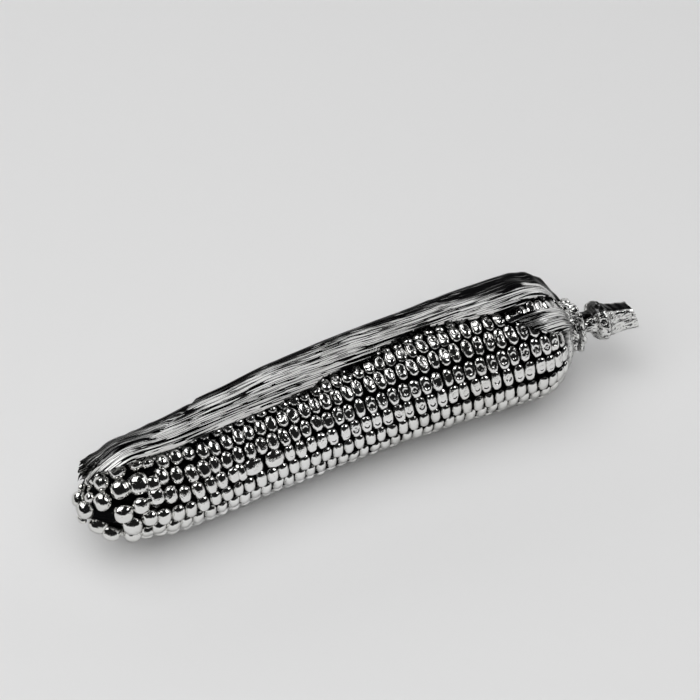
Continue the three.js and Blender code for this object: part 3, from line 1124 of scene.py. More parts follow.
    def add_tip(self) -> None:
        """Make the round kernels of the tip."""
        spots = list(self.tip_open)
        for x, radius, first, last, count in self.tip_rings:
            spots += [(x, angle, radius, 0.0) for angle in np.linspace(first, last, count)]
        table = np.array(spots, float)
        table[:, 0] += self.random.normal(0.0, self.tip_place_noise, len(table))
        size = table[:, 2:3] * np.array(self.tip_stretch)
        size = size * (1.0 + self.random.normal(0.0, self.size_noise, size.shape))
        dent = self.random.uniform(*self.shallow_dents, len(table))
        x, angle, _, stand = table.T
        points, marks = self.pillows(x, angle, size, dent, stand, self.tip_roundness, self.tip_lean)
        marks["depth"] = marks["depth"] * self.tip_depth_share
        self.shop.add(Piece("tip_kernels_round", points, self.faces(len(table)), self.metal,
                            ("tip_kernels",), marks, subdivisions=1))

    def build(self) -> None:
        """Make every row and the tip."""
        for row in range(self.form.row_count):
            self.add_row(row)
        self.add_tip()


@dataclass
class Cob:
    """The cob: dark ground seen in the gaps between the kernels and round the butt."""

    form: EarForm
    shop: Workshop
    metal: Metal = RecessMetal("recess_metal", "recess", polish=0.25, dull=0.5)
    # depth under the crowns, the share of it lost at the butt's face and gained at the tip
    drop: float = 3.3
    butt_loss: float = 0.85
    tip_gain: float = 0.6
    butt_range: Range = (194.0, 199.0)
    tip_range: Range = (4.0, 22.0)
    # runs of rings: first place, last place, count
    tip_run: tuple[float, float, int] = (-2.6, 4.0, 12)
    body_run: tuple[float, float, int] = (6.0, 184.0, 120)
    butt_start: float = 185.0
    butt_gap: float = 0.2
    butt_rings: int = 26
    facet: float = 4.0
    least_radius: float = 0.05
    lump_height: float = 0.25
    lump_length: float = 3.0
    lump_angle: float = 9.0
    seed: int = 5

    def build(self) -> None:
        """Make the ground as rings whose radius lies a few millimetres under the crowns."""
        butt_run = (self.butt_start, self.form.cob_end - self.butt_gap, self.butt_rings)
        x = np.concatenate([np.linspace(*run) for run in (self.tip_run, self.body_run, butt_run)])
        grid_x, angle = np.meshgrid(x, np.arange(0.0, 360.0, self.facet), indexing="ij")
        folded = np.minimum(angle, 360.0 - angle)
        lump = Grain(self.seed).layered(grid_x / self.lump_length, folded / self.lump_angle)
        near_butt = smooth_step(grid_x, *self.butt_range)
        near_tip = 1.0 - smooth_step(grid_x, *self.tip_range)
        drop = self.drop * (1.0 - self.butt_loss * near_butt + self.tip_gain * near_tip)
        radius = self.form.crown_radius(grid_x) - drop + self.lump_height * lump
        points = self.form.point(grid_x, angle, np.maximum(radius, self.least_radius))
        faces = loft_faces(*grid_x.shape)
        # the ground is black with patina and painted shade, except near the butt
        self.shop.add(Piece("cob_ground", points, faces, self.metal, ("cob",), {"bare": near_butt}))


@dataclass
class Leaf:
    """One husk leaf as a thin closed sheet with modelled veins and a ragged edge.

    A length such as tear_length is that of one cell of noise: the distance over which the
    tear, fold or vein changes.
    """

    name: str
    form: EarForm
    shop: Workshop
    low: Callable[[np.ndarray], np.ndarray]
    high: Callable[[np.ndarray], np.ndarray]
    face: Callable[[np.ndarray, np.ndarray], np.ndarray]
    start: float
    end: float
    replaces: tuple[str, ...]
    metal: Metal
    thickness: float = 0.8
    thin_share: float = 0.3
    thin_length: float = 4.0
    vein_height: float = 0.22
    calm_share: float = 0.85
    fold_height: float = 0.10
    fold_length: float = 30.0
    fold_width: float = 5.0
    edge_tear: float = 1.3
    tear_length: float = 6.0
    back_tear_length: float = 9.0
    start_tear: float = 4.0
    start_tear_angle: float = 3.2
    start_tear_reach: float = 9.0
    shade_wander: float = 3.5
    shade_length: float = 9.0
    shade_width: float = 4.0
    # veins: how far they sway, then length, width and height of the wide and the narrow ones
    sway: float = 0.8
    sway_length: float = 40.0
    sway_width: float = 25.0
    wide_vein: tuple[float, float, float] = (30.0, 1.7, 0.7)
    narrow_vein: tuple[float, float, float] = (12.0, 0.75, 0.55)
    map_size: float = 100.0
    rows: int = 170
    columns: int = 417
    every: int = 8
    seed: int = 3
    calm: Callable[[np.ndarray, np.ndarray], np.ndarray] = lambda x, angle: 0.0 * angle
    shade: Callable[[np.ndarray, np.ndarray], np.ndarray] = lambda x, angle: 0.0 * angle

    def build(self) -> None:
        """Make the leaf: a fine outer side, and an inner side one thickness below it."""
        grain, edge_grain = Grain(self.seed), Grain(self.seed + 50)
        x = np.linspace(self.start, self.end, self.rows)
        tear = edge_grain.layered(x / self.tear_length, 0.5, 4) * self.edge_tear
        back_tear = edge_grain.layered(x / self.back_tear_length, 7.5, 4) * self.edge_tear
        low, high = self.low(x) + tear, self.high(x) + back_tear
        angle = low[:, None] + (high - low)[:, None] * np.linspace(0.0, 1.0, self.columns)
        near_start = 1.0 - smooth_step(x, self.start, self.start + self.start_tear_reach)[:, None]
        ragged = edge_grain.layered(angle / self.start_tear_angle, 3.5, 3)
        grid_x = x[:, None] + self.start_tear * ragged * near_start
        across = np.radians(angle) * self.form.body_radius(grid_x)
        vein = self.veins(grain, grid_x, across)
        calm = self.calm(grid_x, angle)
        fold = grain.layered(grid_x / self.fold_length + 3.0, across / self.fold_width, 2)
        radius = self.face(grid_x, angle) + self.fold_height * fold
        radius = radius + self.vein_height * vein * (1.0 - self.calm_share * calm)
        full = smooth_step(grid_x, self.start, self.start + self.thin_length)
        thick = self.thickness * (self.thin_share + (1.0 - self.thin_share) * full)
        outer = self.form.point(grid_x, angle, radius)
        inner = self.form.point(grid_x, angle, radius - thick)[:, :: self.every]
        leaf_map = np.stack([grid_x, across], -1) / self.map_size

        def both(values: np.ndarray) -> np.ndarray:
            """Values of the outer side's points, followed by those of the inner side's.

            Args:
                values: One value or row of values for each point of the outer grid.

            Returns:
                The values in the order of the sheet's points.
            """
            row = values.shape[2:]
            inner_values = values[:, :: self.every]
            return np.concatenate([values.reshape((-1,) + row), inner_values.reshape((-1,) + row)])

        points = np.concatenate([outer.reshape(-1, 3), inner.reshape(-1, 3)])
        # painted shade, with an edge that wanders
        wander = grain.layered(grid_x / self.shade_length, across / self.shade_width + 5.0, 2)
        shade = self.shade(grid_x, angle + self.shade_wander * wander)
        marks = {"vein": both(0.5 - 0.5 * vein), "calm": both(calm), "shade": both(shade)}
        faces = sheet_faces(self.rows, self.columns, self.every)
        self.shop.add(Piece(self.name, points, faces, self.metal, self.replaces, marks, both(leaf_map)))

    def veins(self, grain: Grain, x: np.ndarray, across: np.ndarray) -> np.ndarray:
        """Long ridges: noise with narrow cells across the leaf and very long ones along it.

        Args:
            grain: The noise.
            x: Place along the ear.
            across: Distance round the ear.

        Returns:
            Height of the ridges between about -1 and 1.
        """
        swayed = across + self.sway * grain.at(x / self.sway_length, across / self.sway_width + 9.0)
        length, width, height = self.wide_vein
        wide = height * grain.at(x / length, swayed / width)
        length, width, height = self.narrow_vein
        return wide + height * grain.at(x / length + 40.0, swayed / width)


@dataclass
class Husk:
    """The two leaves over the back of the ear and the torn scrap at the butt."""

    form: EarForm
    shop: Workshop
    metal: Metal = HuskMetal("husk_metal", "husk", polish=0.22, dull=0.16, metallic=0.38)
    # outlines: place along the ear, then a radius or an angle round it
    top_radius: tuple[tuple[float, float], ...] = (
        (-1, 12), (4, 18.3), (8, 19.0), (20, 20.6), (27, 21.9), (34, 22.9), (60, 24.3), (87, 26.3),
        (118, 26.9), (142, 26.6), (166, 27.6), (181, 27.3), (189, 27.0), (195, 25.7), (200, 22.8),
        (205, 14.6),
    )
    outer_front: tuple[tuple[float, float], ...] = (
        (0.5, 99), (6, 95), (10, 84), (16, 80), (60, 80), (92, 81), (100, 88), (118, 88),
        (127, 96), (143, 100), (152, 94), (165, 85), (180, 80), (192, 85), (204.4, 98),
    )
    outer_tongue: tuple[tuple[float, float], ...] = (
        (0.5, 103), (9, 99), (24, 99), (34, 106), (42, 119), (64, 150), (96, 195), (130, 232),
    )
    inner_front: tuple[tuple[float, float], ...] = (
        (4.2, 112), (9, 103), (20, 99), (40, 104), (60, 108), (204.4, 118),
    )
    scrap_low: tuple[tuple[float, float], ...] = (
        (176, 70), (180, 60), (184, 52), (190, 46), (204.2, 45),
    )
    scrap_high: tuple[tuple[float, float], ...] = ((176, 75), (181, 73), (193, 71), (204.2, 79))
    scrap_height: float = 1.25
    scrap_rise: Range = (173.0, 180.0)
    # height of the crest along the leaf, and the angles at which it starts, peaks and ends
    crest: tuple[tuple[float, float], ...] = (
        (0, 0.6), (20, 1.2), (60, 1.6), (100, 2.2), (150, 2.4), (175, 3.2), (190, 3.0), (200, 1.5),
        (205, 0.5),
    )
    crest_angles: tuple[float, float, float] = (117.0, 136.0, 152.0)
    # degrees for which it stays level past its peak, and the share of it that then falls away
    crest_top: float = 2.0
    crest_fall: float = 0.8
    # jagged end of the top ply: its place, its height, and how it wanders with the angle
    tear_place: float = 160.0
    tear_height: float = 0.4
    tear_depth: float = 1.6
    tear_angle: float = 2.3
    tear_slant: float = 0.12
    tear_middle: float = 100.0
    tear_half: float = 0.35
    tear_seed: int = 77
    edge_height: float = 1.5
    edge_dip: float = 0.3
    rise_angle: float = 42.0
    leaf_spacing: float = 1.6
    step_range: Range = (1.0, 9.0)
    tip_bulge: float = 1.2
    tip_bulge_range: Range = (14.0, 26.0)
    rest_middle: float = 104.0
    rest_half: float = 34.0
    edge_lift: float = 0.011
    outer_floor_gap: float = 9.0
    inner_floor_gap: float = 0.8
    # where it is smooth, and where painted shade darkens it: shares, and ranges of place along the ear
    # or of angle
    top_angle: float = 112.0
    smooth_slant: float = 0.9
    smooth_range: Range = (162.0, 190.0)
    smooth_angles: Range = (97.0, 108.0)
    back_angles: Range = (142.0, 162.0)
    painted_band_fade: float = 0.8
    painted_band_back: Range = (140.0, 156.0)
    outer_painted_shade: float = 0.85
    outer_painted_shade_angles: Range = (121.0, 129.0)
    inner_painted_shade: float = 0.8
    inner_painted_shade_angles: Range = (116.0, 130.0)
    bulge_painted_shade: float = 0.98
    bulge_slant: float = 1.1
    bulge_range: Range = (158.0, 178.0)
    bulge_angles: Range = (96.0, 104.0)
    bulge_fade: float = 0.75
    bare_end: Range = (187.0, 190.0)
    bare_angles: Range = (106.0, 110.0)
    inner_tip_painted_shade: float = 0.62
    inner_tip_range: Range = (20.0, 60.0)
    scrap_painted_shade: float = 0.55
    scrap_range: Range = (182.0, 194.0)

    def back_edge(self, x: np.ndarray, radius: np.ndarray) -> np.ndarray:
        """Angle at which a leaf meets the floor behind the ear, less its lift towards both ends.

        Args:
            x: Place along the ear.
            radius: Distance of the leaf from the axis.

        Returns:
            180 + asin(height / radius) degrees, less a lift that grows with the square of the
            distance beyond the stretch that rests on the floor.
        """
        rest = np.degrees(np.arcsin(np.minimum(1.0, self.form.axis_height(x) / radius)))
        beyond = np.maximum(0.0, np.abs(x - self.rest_middle) - self.rest_half)
        return 180.0 + rest - self.edge_lift * beyond ** 2

    def face(self, x: np.ndarray, angle: np.ndarray) -> np.ndarray:
        """Radius of the outer leaf's outer face.

        It is low at the front edge, rises to a broad back, and stands up in a crest along the top.

        Args:
            x: Place along the ear.
            angle: Angle round the ear.

        Returns:
            The radius.
        """
        bulge = self.tip_bulge * (1.0 - smooth_step(x, *self.tip_bulge_range))
        edge = self.form.crown_radius(x) + bulge + self.edge_height
        top = np.maximum(through(self.top_radius, x), edge)
        back = np.maximum(top - through(self.crest, x), edge - self.edge_dip)
        share = eased(np.clip((angle - through(self.outer_front, x)) / self.rise_angle, 0.0, 1.0))
        start, peak, end = self.crest_angles
        fall = self.crest_fall * smooth_step(angle, peak + self.crest_top, end)
        rise = smooth_step(angle, start, peak) - fall
        return edge + (back - edge) * share + (top - back) * rise

    def torn_ply(self, x: np.ndarray, angle: np.ndarray) -> np.ndarray:
        """Height of the leaf's top ply, which ends in a jagged tear short of the butt.

        Args:
            x: Place along the ear.
            angle: Angle round the ear.

        Returns:
            The height over the leaf's face.
        """
        jag = Grain(self.tear_seed).layered(angle / self.tear_angle, 4.5)
        slant = self.tear_slant * (angle - self.tear_middle)
        end = self.tear_place + self.tear_depth * jag - slant
        return self.tear_height * (1.0 - smooth_step(x, end - self.tear_half, end + self.tear_half))

    def outer_face(self, x: np.ndarray, angle: np.ndarray) -> np.ndarray:
        """Outer face with the torn ply on it."""
        return self.face(x, angle) + self.torn_ply(x, angle)

    def inner_face(self, x: np.ndarray, angle: np.ndarray) -> np.ndarray:
        """Face of the back leaf: below the outer leaf, and at full height beyond its edge.

        Args:
            x: Place along the ear.
            angle: Angle round the ear.

        Returns:
            The radius.
        """
        edge = through(self.outer_tongue, x)
        start, end = self.step_range
        beyond = smooth_step(angle, edge + start, edge + end)
        return self.face(x, angle) - self.leaf_spacing * (1.0 - beyond)

    def scrap_face(self, x: np.ndarray, angle: np.ndarray) -> np.ndarray:
        """Face of the scrap, which lies on the last kernels; it is level round the ear."""
        ground = np.maximum(self.form.crown_radius(x), self.form.cob_radius(x))
        return ground + self.scrap_height * smooth_step(x, *self.scrap_rise)

    def smooth_top(self, x: np.ndarray, angle: np.ndarray) -> np.ndarray:
        """Share of smoothness: the bulge over the butt has hardly any veins.

        Args:
            x: Place along the ear.
            angle: Angle round the ear.

        Returns:
            The share between 0 and 1.
        """
        below = smooth_step(angle, *self.smooth_angles)
        below = below * (1.0 - smooth_step(angle, *self.back_angles))
        slanted = x + self.smooth_slant * (angle - self.top_angle)
        return smooth_step(slanted, *self.smooth_range) * below

    def painted_band(self, angle: np.ndarray, share: float, angles: Range) -> np.ndarray:
        """Painted shade along the top of a leaf, which weakens down its back.

        Args:
            angle: Angle round the ear.
            share: The stripe's full painted shade.
            angles: Angles between which the stripe sets in.

        Returns:
            The share of painted shade.
        """
        back = 1.0 - self.painted_band_fade * smooth_step(angle, *self.painted_band_back)
        return share * smooth_step(angle, *angles) * back

    def outer_shade(self, x: np.ndarray, angle: np.ndarray) -> np.ndarray:
        """Share of painted shade: a stripe along the top and the bulge over the butt, but not its end.

        Args:
            x: Place along the ear.
            angle: Angle round the ear.

        Returns:
            The share between 0 and 1.
        """
        painted_band = self.painted_band(angle, self.outer_painted_shade, self.outer_painted_shade_angles)
        slanted = x + self.bulge_slant * (angle - self.top_angle)
        bulge = smooth_step(slanted, *self.bulge_range) * smooth_step(angle, *self.bulge_angles)
        bulge *= 1.0 - self.bulge_fade * smooth_step(angle, *self.back_angles)
        end = smooth_step(x, *self.bare_end) * (1.0 - smooth_step(angle, *self.bare_angles))
        return np.maximum(painted_band, self.bulge_painted_shade * bulge) * (1.0 - end)

    def inner_shade(self, x: np.ndarray, angle: np.ndarray) -> np.ndarray:
        """Share of painted shade on the back leaf: dark near the tip and along the top."""
        painted_band = self.painted_band(angle, self.inner_painted_shade, self.inner_painted_shade_angles)
        return np.maximum(painted_band, self.inner_tip_painted_shade * (1.0 - smooth_step(x, *self.inner_tip_range)))

    def scrap_shade(self, x: np.ndarray, angle: np.ndarray) -> np.ndarray:
        """Share of painted shade on the scrap: darker at its torn end, and even round the ear."""
        return self.scrap_painted_shade * (1.0 - smooth_step(x, *self.scrap_range))

    def build(self) -> None:
        """Make both leaves and the torn scrap."""
        Leaf("husk_leaf_outer_sheet", self.form, self.shop,
             low=lambda x: through(self.outer_front, x),
             high=lambda x: np.minimum(
                 through(self.outer_tongue, x),
                 self.back_edge(x, through(self.top_radius, x)) - self.outer_floor_gap),
             face=self.outer_face, start=2.0, end=204.4, replaces=("husk_leaf_outer",),
             metal=self.metal, calm=self.smooth_top, shade=self.outer_shade).build()
        Leaf("husk_leaf_inner_sheet", self.form, self.shop,
             low=lambda x: through(self.inner_front, x),
             high=lambda x: self.back_edge(
                 x, through(self.top_radius, x) - self.leaf_spacing) - self.inner_floor_gap,
             face=self.inner_face, start=4.2, end=204.4, replaces=("husk_leaf_inner",),
             metal=self.metal, shade=self.inner_shade, seed=21).build()
        Leaf("husk_scrap_sheet", self.form, self.shop,
             low=lambda x: through(self.scrap_low, x),
             high=lambda x: through(self.scrap_high, x),
             face=self.scrap_face, start=176.0, end=204.2, replaces=("husk_scrap",),
             metal=self.metal, shade=self.scrap_shade, vein_height=0.4, fold_height=0.25,
             edge_tear=3.0, rows=120, columns=257, seed=31).build()


@dataclass
class Stalk:
    """Crinkled collar, stranded neck, scarred node and the shank with its slanted cut."""

    form: EarForm
    shop: Workshop
    collar_metal: Metal = FibreMetal("collar_metal", "husk", dull=0.2, stretch=(420.0, 420.0, 420.0))
    stalk_metal: Metal = FibreMetal("stalk_metal", "stalk", dull=0.16)
    collar_middle: float = 204.7
    collar_half: float = 3.1
    collar_radius: float = 10.8
    collar_bore: float = 4.6
    collar_points: tuple[int, int] = (220, 60)
    # powers that make the collar's section squarer than an ellipse, outwards and along
    out_power: float = 0.6
    along_power: float = 0.7
    # noise: seed, cells round the ring, cells across and along the section
    crumple_noise: tuple[int, float, float, float] = (61, 3.1, 1.2, 1.2)
    crinkle_noise: tuple[int, float, float, float] = (62, 7.0, 2.0, 2.6)
    section_crumple: float = 0.25
    outer_crumple: float = 0.3
    along_crumple: float = 0.2
    # crinkles on the plain ring, and what the knob on top adds to them
    out_crinkle: tuple[float, float] = (0.25, 0.45)
    along_crinkle: tuple[float, float] = (0.12, 0.35)
    knob_height: float = 1.5
    knob_power: int = 3
    # painted shade on the knob on top: its share, and how much the crinkles vary it
    knob_painted_shade: tuple[float, float] = (0.25, 0.5)
    groove_place: float = 0.12
    groove_depth: float = 2.2
    groove_width: float = 0.22
    groove_black: float = 0.9
    groove_black_width: float = 0.2
    # place, height of the middle, radius
    stations: tuple[tuple[float, float, float], ...] = (
        (203.0, 25.6, 4.6), (207.5, 25.8, 4.4), (213.0, 25.1, 4.1), (215.2, 24.7, 4.8),
        (217.0, 24.2, 7.4), (219.4, 23.8, 8.3), (222.2, 23.3, 6.6), (225.0, 22.8, 5.9),
        (229.0, 22.0, 5.7), (234.4, 20.9, 5.6),
    )
    sweep_points: int = 150
    round_points: int = 132
    end_points: int = 8
    end_shares: Range = (0.97, 0.02)
    turn: float = 20.0
    square_power: float = 4.5
    square_size: float = 0.9
    shank_range: Range = (219.2, 224.2)
    # three strands of the neck: place and width, height, waist, and their slow turn
    neck: Range = (210.8, 2.6)
    strand_count: int = 3
    strand_height: float = 0.24
    waist: float = 0.05
    strand_turn: float = 0.12
    strand_middle: float = 210.0
    strand_black: float = 0.5
    # seeds of the two sets of fibres, the knots and the ragged cut
    seeds: tuple[int, int, int, int] = (71, 72, 73, 74)
    # fibres along the shank, and knots that are highest on the node
    fibre_lengths: tuple[float, float] = (5.0, 6.0)
    fibre_cells: float = 9.0
    knot_length: float = 2.5
    knot_cells: float = 2.6
    knot_turn: float = 0.7
    fibre_height: float = 0.20
    knot_height: float = 0.10
    node_knots: float = 0.5
    node: Range = (219.0, 3.0)
    smooth_half: float = 34.0
    smooth_share: float = 0.9
    scar_place: Range = (218.0, 1.2)
    scar_angle: Range = (38.0, 9.0)
    scar_depth: float = 1.3
    scar_black: float = 0.8
    cut_slant: float = 0.22
    cut_from: float = 226.2
    ragged_from: float = 232.7
    ragged_depth: float = 0.45
    ragged_size: float = 1.3
    # painted shade on the upper side: angles of its two edges, shares on the shank and the neck
    painted_shade_low: Range = (66.0, 74.0)
    painted_shade_high: Range = (128.0, 146.0)
    shank_painted_shade: float = 0.95
    neck_painted_shade: float = 0.75
    neck_painted_shade_range: Range = (207.2, 210.2)

    def ring_noise(self, noise: tuple[int, float, float, float], wave: np.ndarray,
                   cut: np.ndarray) -> np.ndarray:
        """Noise that closes both round the collar and round its section.

        Args:
            noise: Seed, cells round the ring, and cells across and along the section.
            wave: Angle round the ring, in radians.
            cut: Angle round the section, in radians.

        Returns:
            The noise, roughly between -1 and 1.
        """
        seed, cells, cells_across, cells_along = noise
        across = np.cos(wave) * cells + np.cos(cut) * cells_across
        upward = np.sin(wave) * cells + np.sin(cut) * cells_along
        return Grain(seed).layered(across, upward)

    def add_collar(self) -> None:
        """Make the collar: a squarish ring with a groove, crumpled by noise and thickest on top.

        Each point of the section stands at sign(c) |c|^power of its half width outwards and
        sign(s) |s|^power of its half length along, with c and s its cosine and sine.
        """
        around, section = self.collar_points
        turn = np.linspace(0.0, 360.0, around, endpoint=False)[:, None]
        wave = np.radians(turn)
        cut = np.radians(np.linspace(0.0, 360.0, section, endpoint=False)[None, :])
        crumple = self.ring_noise(self.crumple_noise, wave, cut)
        crinkle = self.ring_noise(self.crinkle_noise, wave, cut)
        knob = np.maximum(0.0, np.sin(wave)) ** self.knob_power
        out_share = np.sign(np.cos(cut)) * np.abs(np.cos(cut)) ** self.out_power
        along_share = np.sign(np.sin(cut)) * np.abs(np.sin(cut)) ** self.along_power
        plain = (out_share > 0) * (1.0 - knob)
        middle = (self.collar_radius + self.collar_bore) / 2
        half = (self.collar_radius - self.collar_bore) / 2
        radius = middle + half * out_share * (1.0 + self.section_crumple * crumple)
        notch = self.groove_depth * hump(along_share, self.groove_place, self.groove_width)
        radius = radius - notch * plain
        out_crinkle = self.out_crinkle[0] + self.out_crinkle[1] * knob
        raised = out_crinkle * crinkle + self.knob_height * knob + self.outer_crumple * crumple
        radius = radius + raised * (out_share > 0)
        along_crinkle = self.along_crinkle[0] + self.along_crinkle[1] * knob
        reach = self.collar_half * along_share * (1.0 + self.along_crumple * crumple)
        x = self.collar_middle + reach + along_crinkle * crinkle
        groove = hump(along_share, self.groove_place, self.groove_black_width)
        # painted shade on the knob on top; the groove is darker too
        black = knob * (self.knob_painted_shade[0] - self.knob_painted_shade[1] * crinkle)
        depth = np.clip(self.groove_black * groove * plain + black, 0.0, 1.0)
        points = self.form.point(x, turn, radius)
        self.shop.add(Piece("husk_collar_ring", points[:, ::-1], torus_faces(*x.shape),
                            self.collar_metal, ("husk_collar",), {"depth": depth[:, ::-1]}))

    def add_stalk(self) -> None:
        """Make the stalk: a round section that turns into a rounded square along the stations.

        The square's radius is (|cos|^p + |sin|^p)^(-1/p) of the round one's. The last rings close
        the cut, which slants and is ragged.
        """
        first, last = self.stations[0][0], self.stations[-1][0]
        along = np.concatenate([np.linspace(first, last, self.sweep_points),
                                np.full(self.end_points, last)])[:, None]
        inward = np.concatenate([np.ones(self.sweep_points),
                                 np.linspace(*self.end_shares, self.end_points)])[:, None]
        angle = np.linspace(0.0, 360.0, self.round_points, endpoint=False)[None, :]
        wave = np.radians(angle)
        height = through([(x, middle) for x, middle, _ in self.stations], along)
        size = through([(x, radius) for x, _, radius in self.stations], along)
        shank = smooth_step(along, *self.shank_range)
        neck = hump(along, *self.neck)
        scar = hump(along, *self.scar_place) * hump(angle, *self.scar_angle)
        corner = np.radians(angle - self.turn)
        sides = np.abs(np.cos(corner)) ** self.square_power + np.abs(np.sin(corner)) ** self.square_power
        square = sides ** (-1 / self.square_power)
        shape = 1.0 + (square * self.square_size - 1.0) * shank
        twist = self.strand_turn * (along - self.strand_middle)
        ridges = self.strand_height * np.cos(self.strand_count * wave + twist)
        strands = 1.0 + neck * (ridges - self.waist)
        rough = self.roughness(along, angle, shank)
        radius = (size * shape * strands + rough - self.scar_depth * scar) * inward
        local_y, local_z = -radius * np.cos(wave), radius * np.sin(wave)
        x = along - self.cut_slant * local_z * smooth_step(along, self.cut_from, last)
        cells_y, cells_z = (side / self.ragged_size + 9.0 for side in (local_y, local_z))
        ragged = Grain(self.seeds[3]).layered(cells_y, cells_z)
        x = x + self.ragged_depth * ragged * smooth_step(along, self.ragged_from, last)
        points = np.stack([x, self.form.axis_side(x) + local_y, height + local_z], -1)
        # painted shade on the upper side of the shank and the neck
        top_painted_shade = smooth_step(angle, *self.painted_shade_low) * (1.0 - smooth_step(angle, *self.painted_shade_high))
        neck_shade_share = self.neck_painted_shade * smooth_step(along, *self.neck_painted_shade_range) * (1.0 - shank)
        black = top_painted_shade * (self.shank_painted_shade * shank + neck_shade_share)
        between = self.strand_black * neck * (0.5 - 0.5 * np.cos(self.strand_count * wave))
        depth = np.clip(between + self.scar_black * scar + black, 0.0, 1.0)
        self.shop.add(Piece("stalk_shank", points, loft_faces(*x.shape), self.stalk_metal,
                            ("stalk",), {"depth": depth}))

    def roughness(self, along: np.ndarray, angle: np.ndarray, shank: np.ndarray) -> np.ndarray:
        """Height of the fibres and knots: noise on a circle, so that it closes round the stalk.

        Args:
            along: Place along the ear.
            angle: Angle round the stalk.
            shank: Share of the square shank in the shape.

        Returns:
            The height, small on the shank's smooth upper side.
        """
        wave = np.radians(angle)
        fibre = sum(Grain(seed).layered(along / length, 7.0 + self.fibre_cells * side)
                    for seed, length, side in zip(self.seeds, self.fibre_lengths,
                                                  (np.cos(wave), np.sin(wave))))
        knot_place = 3.0 + self.knot_cells * np.cos(wave - self.knot_turn)
        knots = Grain(self.seeds[2]).layered(along / self.knot_length, knot_place)
        knot_height = self.knot_height + self.node_knots * hump(along, *self.node)
        from_top = (angle - self.turn - 90.0 + 180.0) % 360.0 - 180.0
        smooth = hump(from_top, 0.0, self.smooth_half) * shank
        return (self.fibre_height * fibre + knot_height * knots) * (1.0 - self.smooth_share * smooth)

    def build(self) -> None:
        """Make collar and stalk."""
        self.add_collar()
        self.add_stalk()


class Reach(Enum):
    """What a studio light acts on."""

    REFLECTIONS = "it shows in the metal but does not brighten the floor"
    SURFACES = "it brightens the floor but does not show in the metal"


@dataclass(frozen=True)
class Softbox:
    """A soft rectangular light that faces the object: angles in degrees, metres and watts."""

    name: str
    # turn from the camera's side, and height above the floor
    turn: float
    elevation: float
    distance: float
    size: tuple[float, float]
    power: float
    reach: Reach


@dataclass(frozen=True)
class Card:
    """A pale card in the dark room, with soft edges."""

    brightness: float
    # height of its upper edge, and how far it faces the camera's side, from -1 to 1
    top: Range
    facing: Range


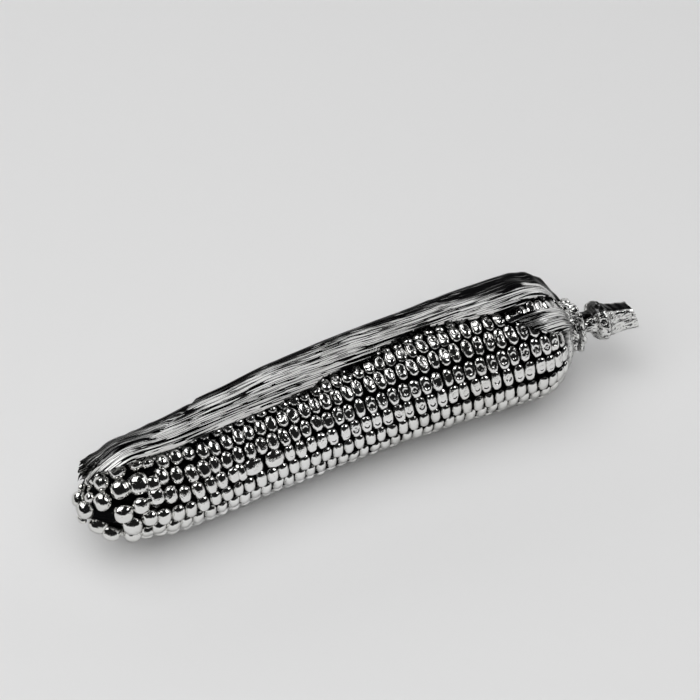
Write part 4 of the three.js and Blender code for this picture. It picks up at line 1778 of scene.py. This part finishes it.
@dataclass
class Studio:
    """Pale floor, soft lights and the camera."""

    form: EarForm
    azimuth: float = -27.54
    elevation: float = 46.0
    distance: float = 0.9
    lens: float = 119.6
    target: tuple[float, float, float] = (100.68, 6.35, 20.0)
    aim_right: float = 10.27
    aim_up: float = 24.14
    clip: Range = (0.01, 50.0)
    floor_half: float = 6.0
    lights: tuple[Softbox, ...] = (
        Softbox("key_softbox", -108.0, 60.0, 1.6, (1.2, 1.1), 10.0, Reach.REFLECTIONS),
        Softbox("fill_softbox", 100.0, 50.0, 1.6, (0.7, 0.6), 4.2, Reach.REFLECTIONS),
        Softbox("room_light", -30.0, 72.0, 1.9, (3.6, 3.6), 64.0, Reach.SURFACES),
    )
    near_card: Card = Card(0.6, (0.20, 0.14), (0.1, 0.5))
    far_card: Card = Card(0.85, (0.58, 0.48), (-0.25, -0.55))
    glow_top: Range = (0.06, 0.02)
    glow: float = 0.3
    room: float = 0.012

    def direction(self, azimuth: float, elevation: float) -> Vector:
        """Unit vector from the object towards a place given by azimuth and elevation."""
        a, e = math.radians(azimuth), math.radians(elevation)
        return Vector((math.sin(a) * math.cos(e), -math.cos(a) * math.cos(e), math.sin(e)))

    def camera(self) -> None:
        """Place the camera."""
        back = self.direction(self.azimuth, self.elevation)
        turn = (-back).to_track_quat("-Z", "Y")
        right, up = turn @ Vector((1, 0, 0)), turn @ Vector((0, 1, 0))
        aim = Vector((np.array(self.target) + self.form.origin) * MM)
        aim += right * (self.aim_right * MM) + up * (self.aim_up * MM)
        data = bpy.data.cameras.new("camera")
        data.lens = self.lens
        data.clip_start, data.clip_end = self.clip
        camera = bpy.data.objects.new("camera", data)
        camera.location = aim + back * self.distance
        camera.rotation_mode = "QUATERNION"
        camera.rotation_quaternion = turn
        bpy.context.scene.collection.objects.link(camera)
        bpy.context.scene.camera = camera

    def floor(self) -> None:
        """Lay the floor."""
        half = self.floor_half
        mesh = bpy.data.meshes.new("floor")
        corners = [(-half, -half, 0.0), (half, -half, 0.0), (half, half, 0.0), (-half, half, 0.0)]
        mesh.from_pydata(corners, [], [(0, 1, 2, 3)])
        mesh.materials.append(Paper().material())
        floor = bpy.data.objects.new("floor", mesh)
        bpy.context.scene.collection.objects.link(floor)

    def hang(self, box: Softbox) -> None:
        """Add a soft light.

        Args:
            box: The light.
        """
        data = bpy.data.lights.new(box.name, "AREA")
        data.shape = "RECTANGLE"
        data.size, data.size_y = box.size
        data.energy = box.power
        light = bpy.data.objects.new(box.name, data)
        away = self.direction(self.azimuth + box.turn, box.elevation)
        light.location = away * box.distance
        light.rotation_mode = "QUATERNION"
        light.rotation_quaternion = away.to_track_quat("Z", "Y")
        light.visible_diffuse = box.reach is Reach.SURFACES
        light.visible_glossy = box.reach is Reach.REFLECTIONS
        bpy.context.scene.collection.objects.link(light)

    def surroundings(self) -> None:
        """Light the room, which the metal mirrors.

        The room is dark, with a low pale card on the camera's side, a taller one opposite, and a
        faint glow at the horizon.
        """
        world = bpy.data.worlds.new("studio")
        bpy.context.scene.world = world
        world.use_nodes = True
        bench = Bench(world.node_tree)
        way = bench.node("ShaderNodeTexCoord", {}, {}, "Generated")
        height = bench.node("ShaderNodeSeparateXYZ", {}, {"Vector": way}, "Z")
        front = tuple(self.direction(self.azimuth, 0.0))
        towards = bench.node("ShaderNodeVectorMath", {"operation": "DOT_PRODUCT"}, {0: way, 1: front},
                             "Value")
        near, far = (height.rise(*card.top) * towards.rise(*card.facing) * card.brightness
                     for card in (self.near_card, self.far_card))
        strength = near + far + height.rise(*self.glow_top) * self.glow + self.room
        light = bench.node("ShaderNodeBackground", {}, {"Color": (1, 1, 1, 1), "Strength": strength})
        bench.finish(light, "ShaderNodeOutputWorld")

    def build(self) -> None:
        """Make camera, floor and lights."""
        self.camera()
        self.floor()
        self.surroundings()
        for box in self.lights:
            self.hang(box)
        bpy.context.scene.view_settings.view_transform = "Standard"
        log.info("studio: %d lights", len(self.lights))


def main() -> None:
    """Build the studio and the ear."""
    form = EarForm().placed()
    Studio(form).build()
    shop = Workshop(form)
    Cob(form, shop).build()
    Kernels(form, shop).build()
    Husk(form, shop).build()
    Stalk(form, shop).build()


if __name__ == "__main__":
    main()
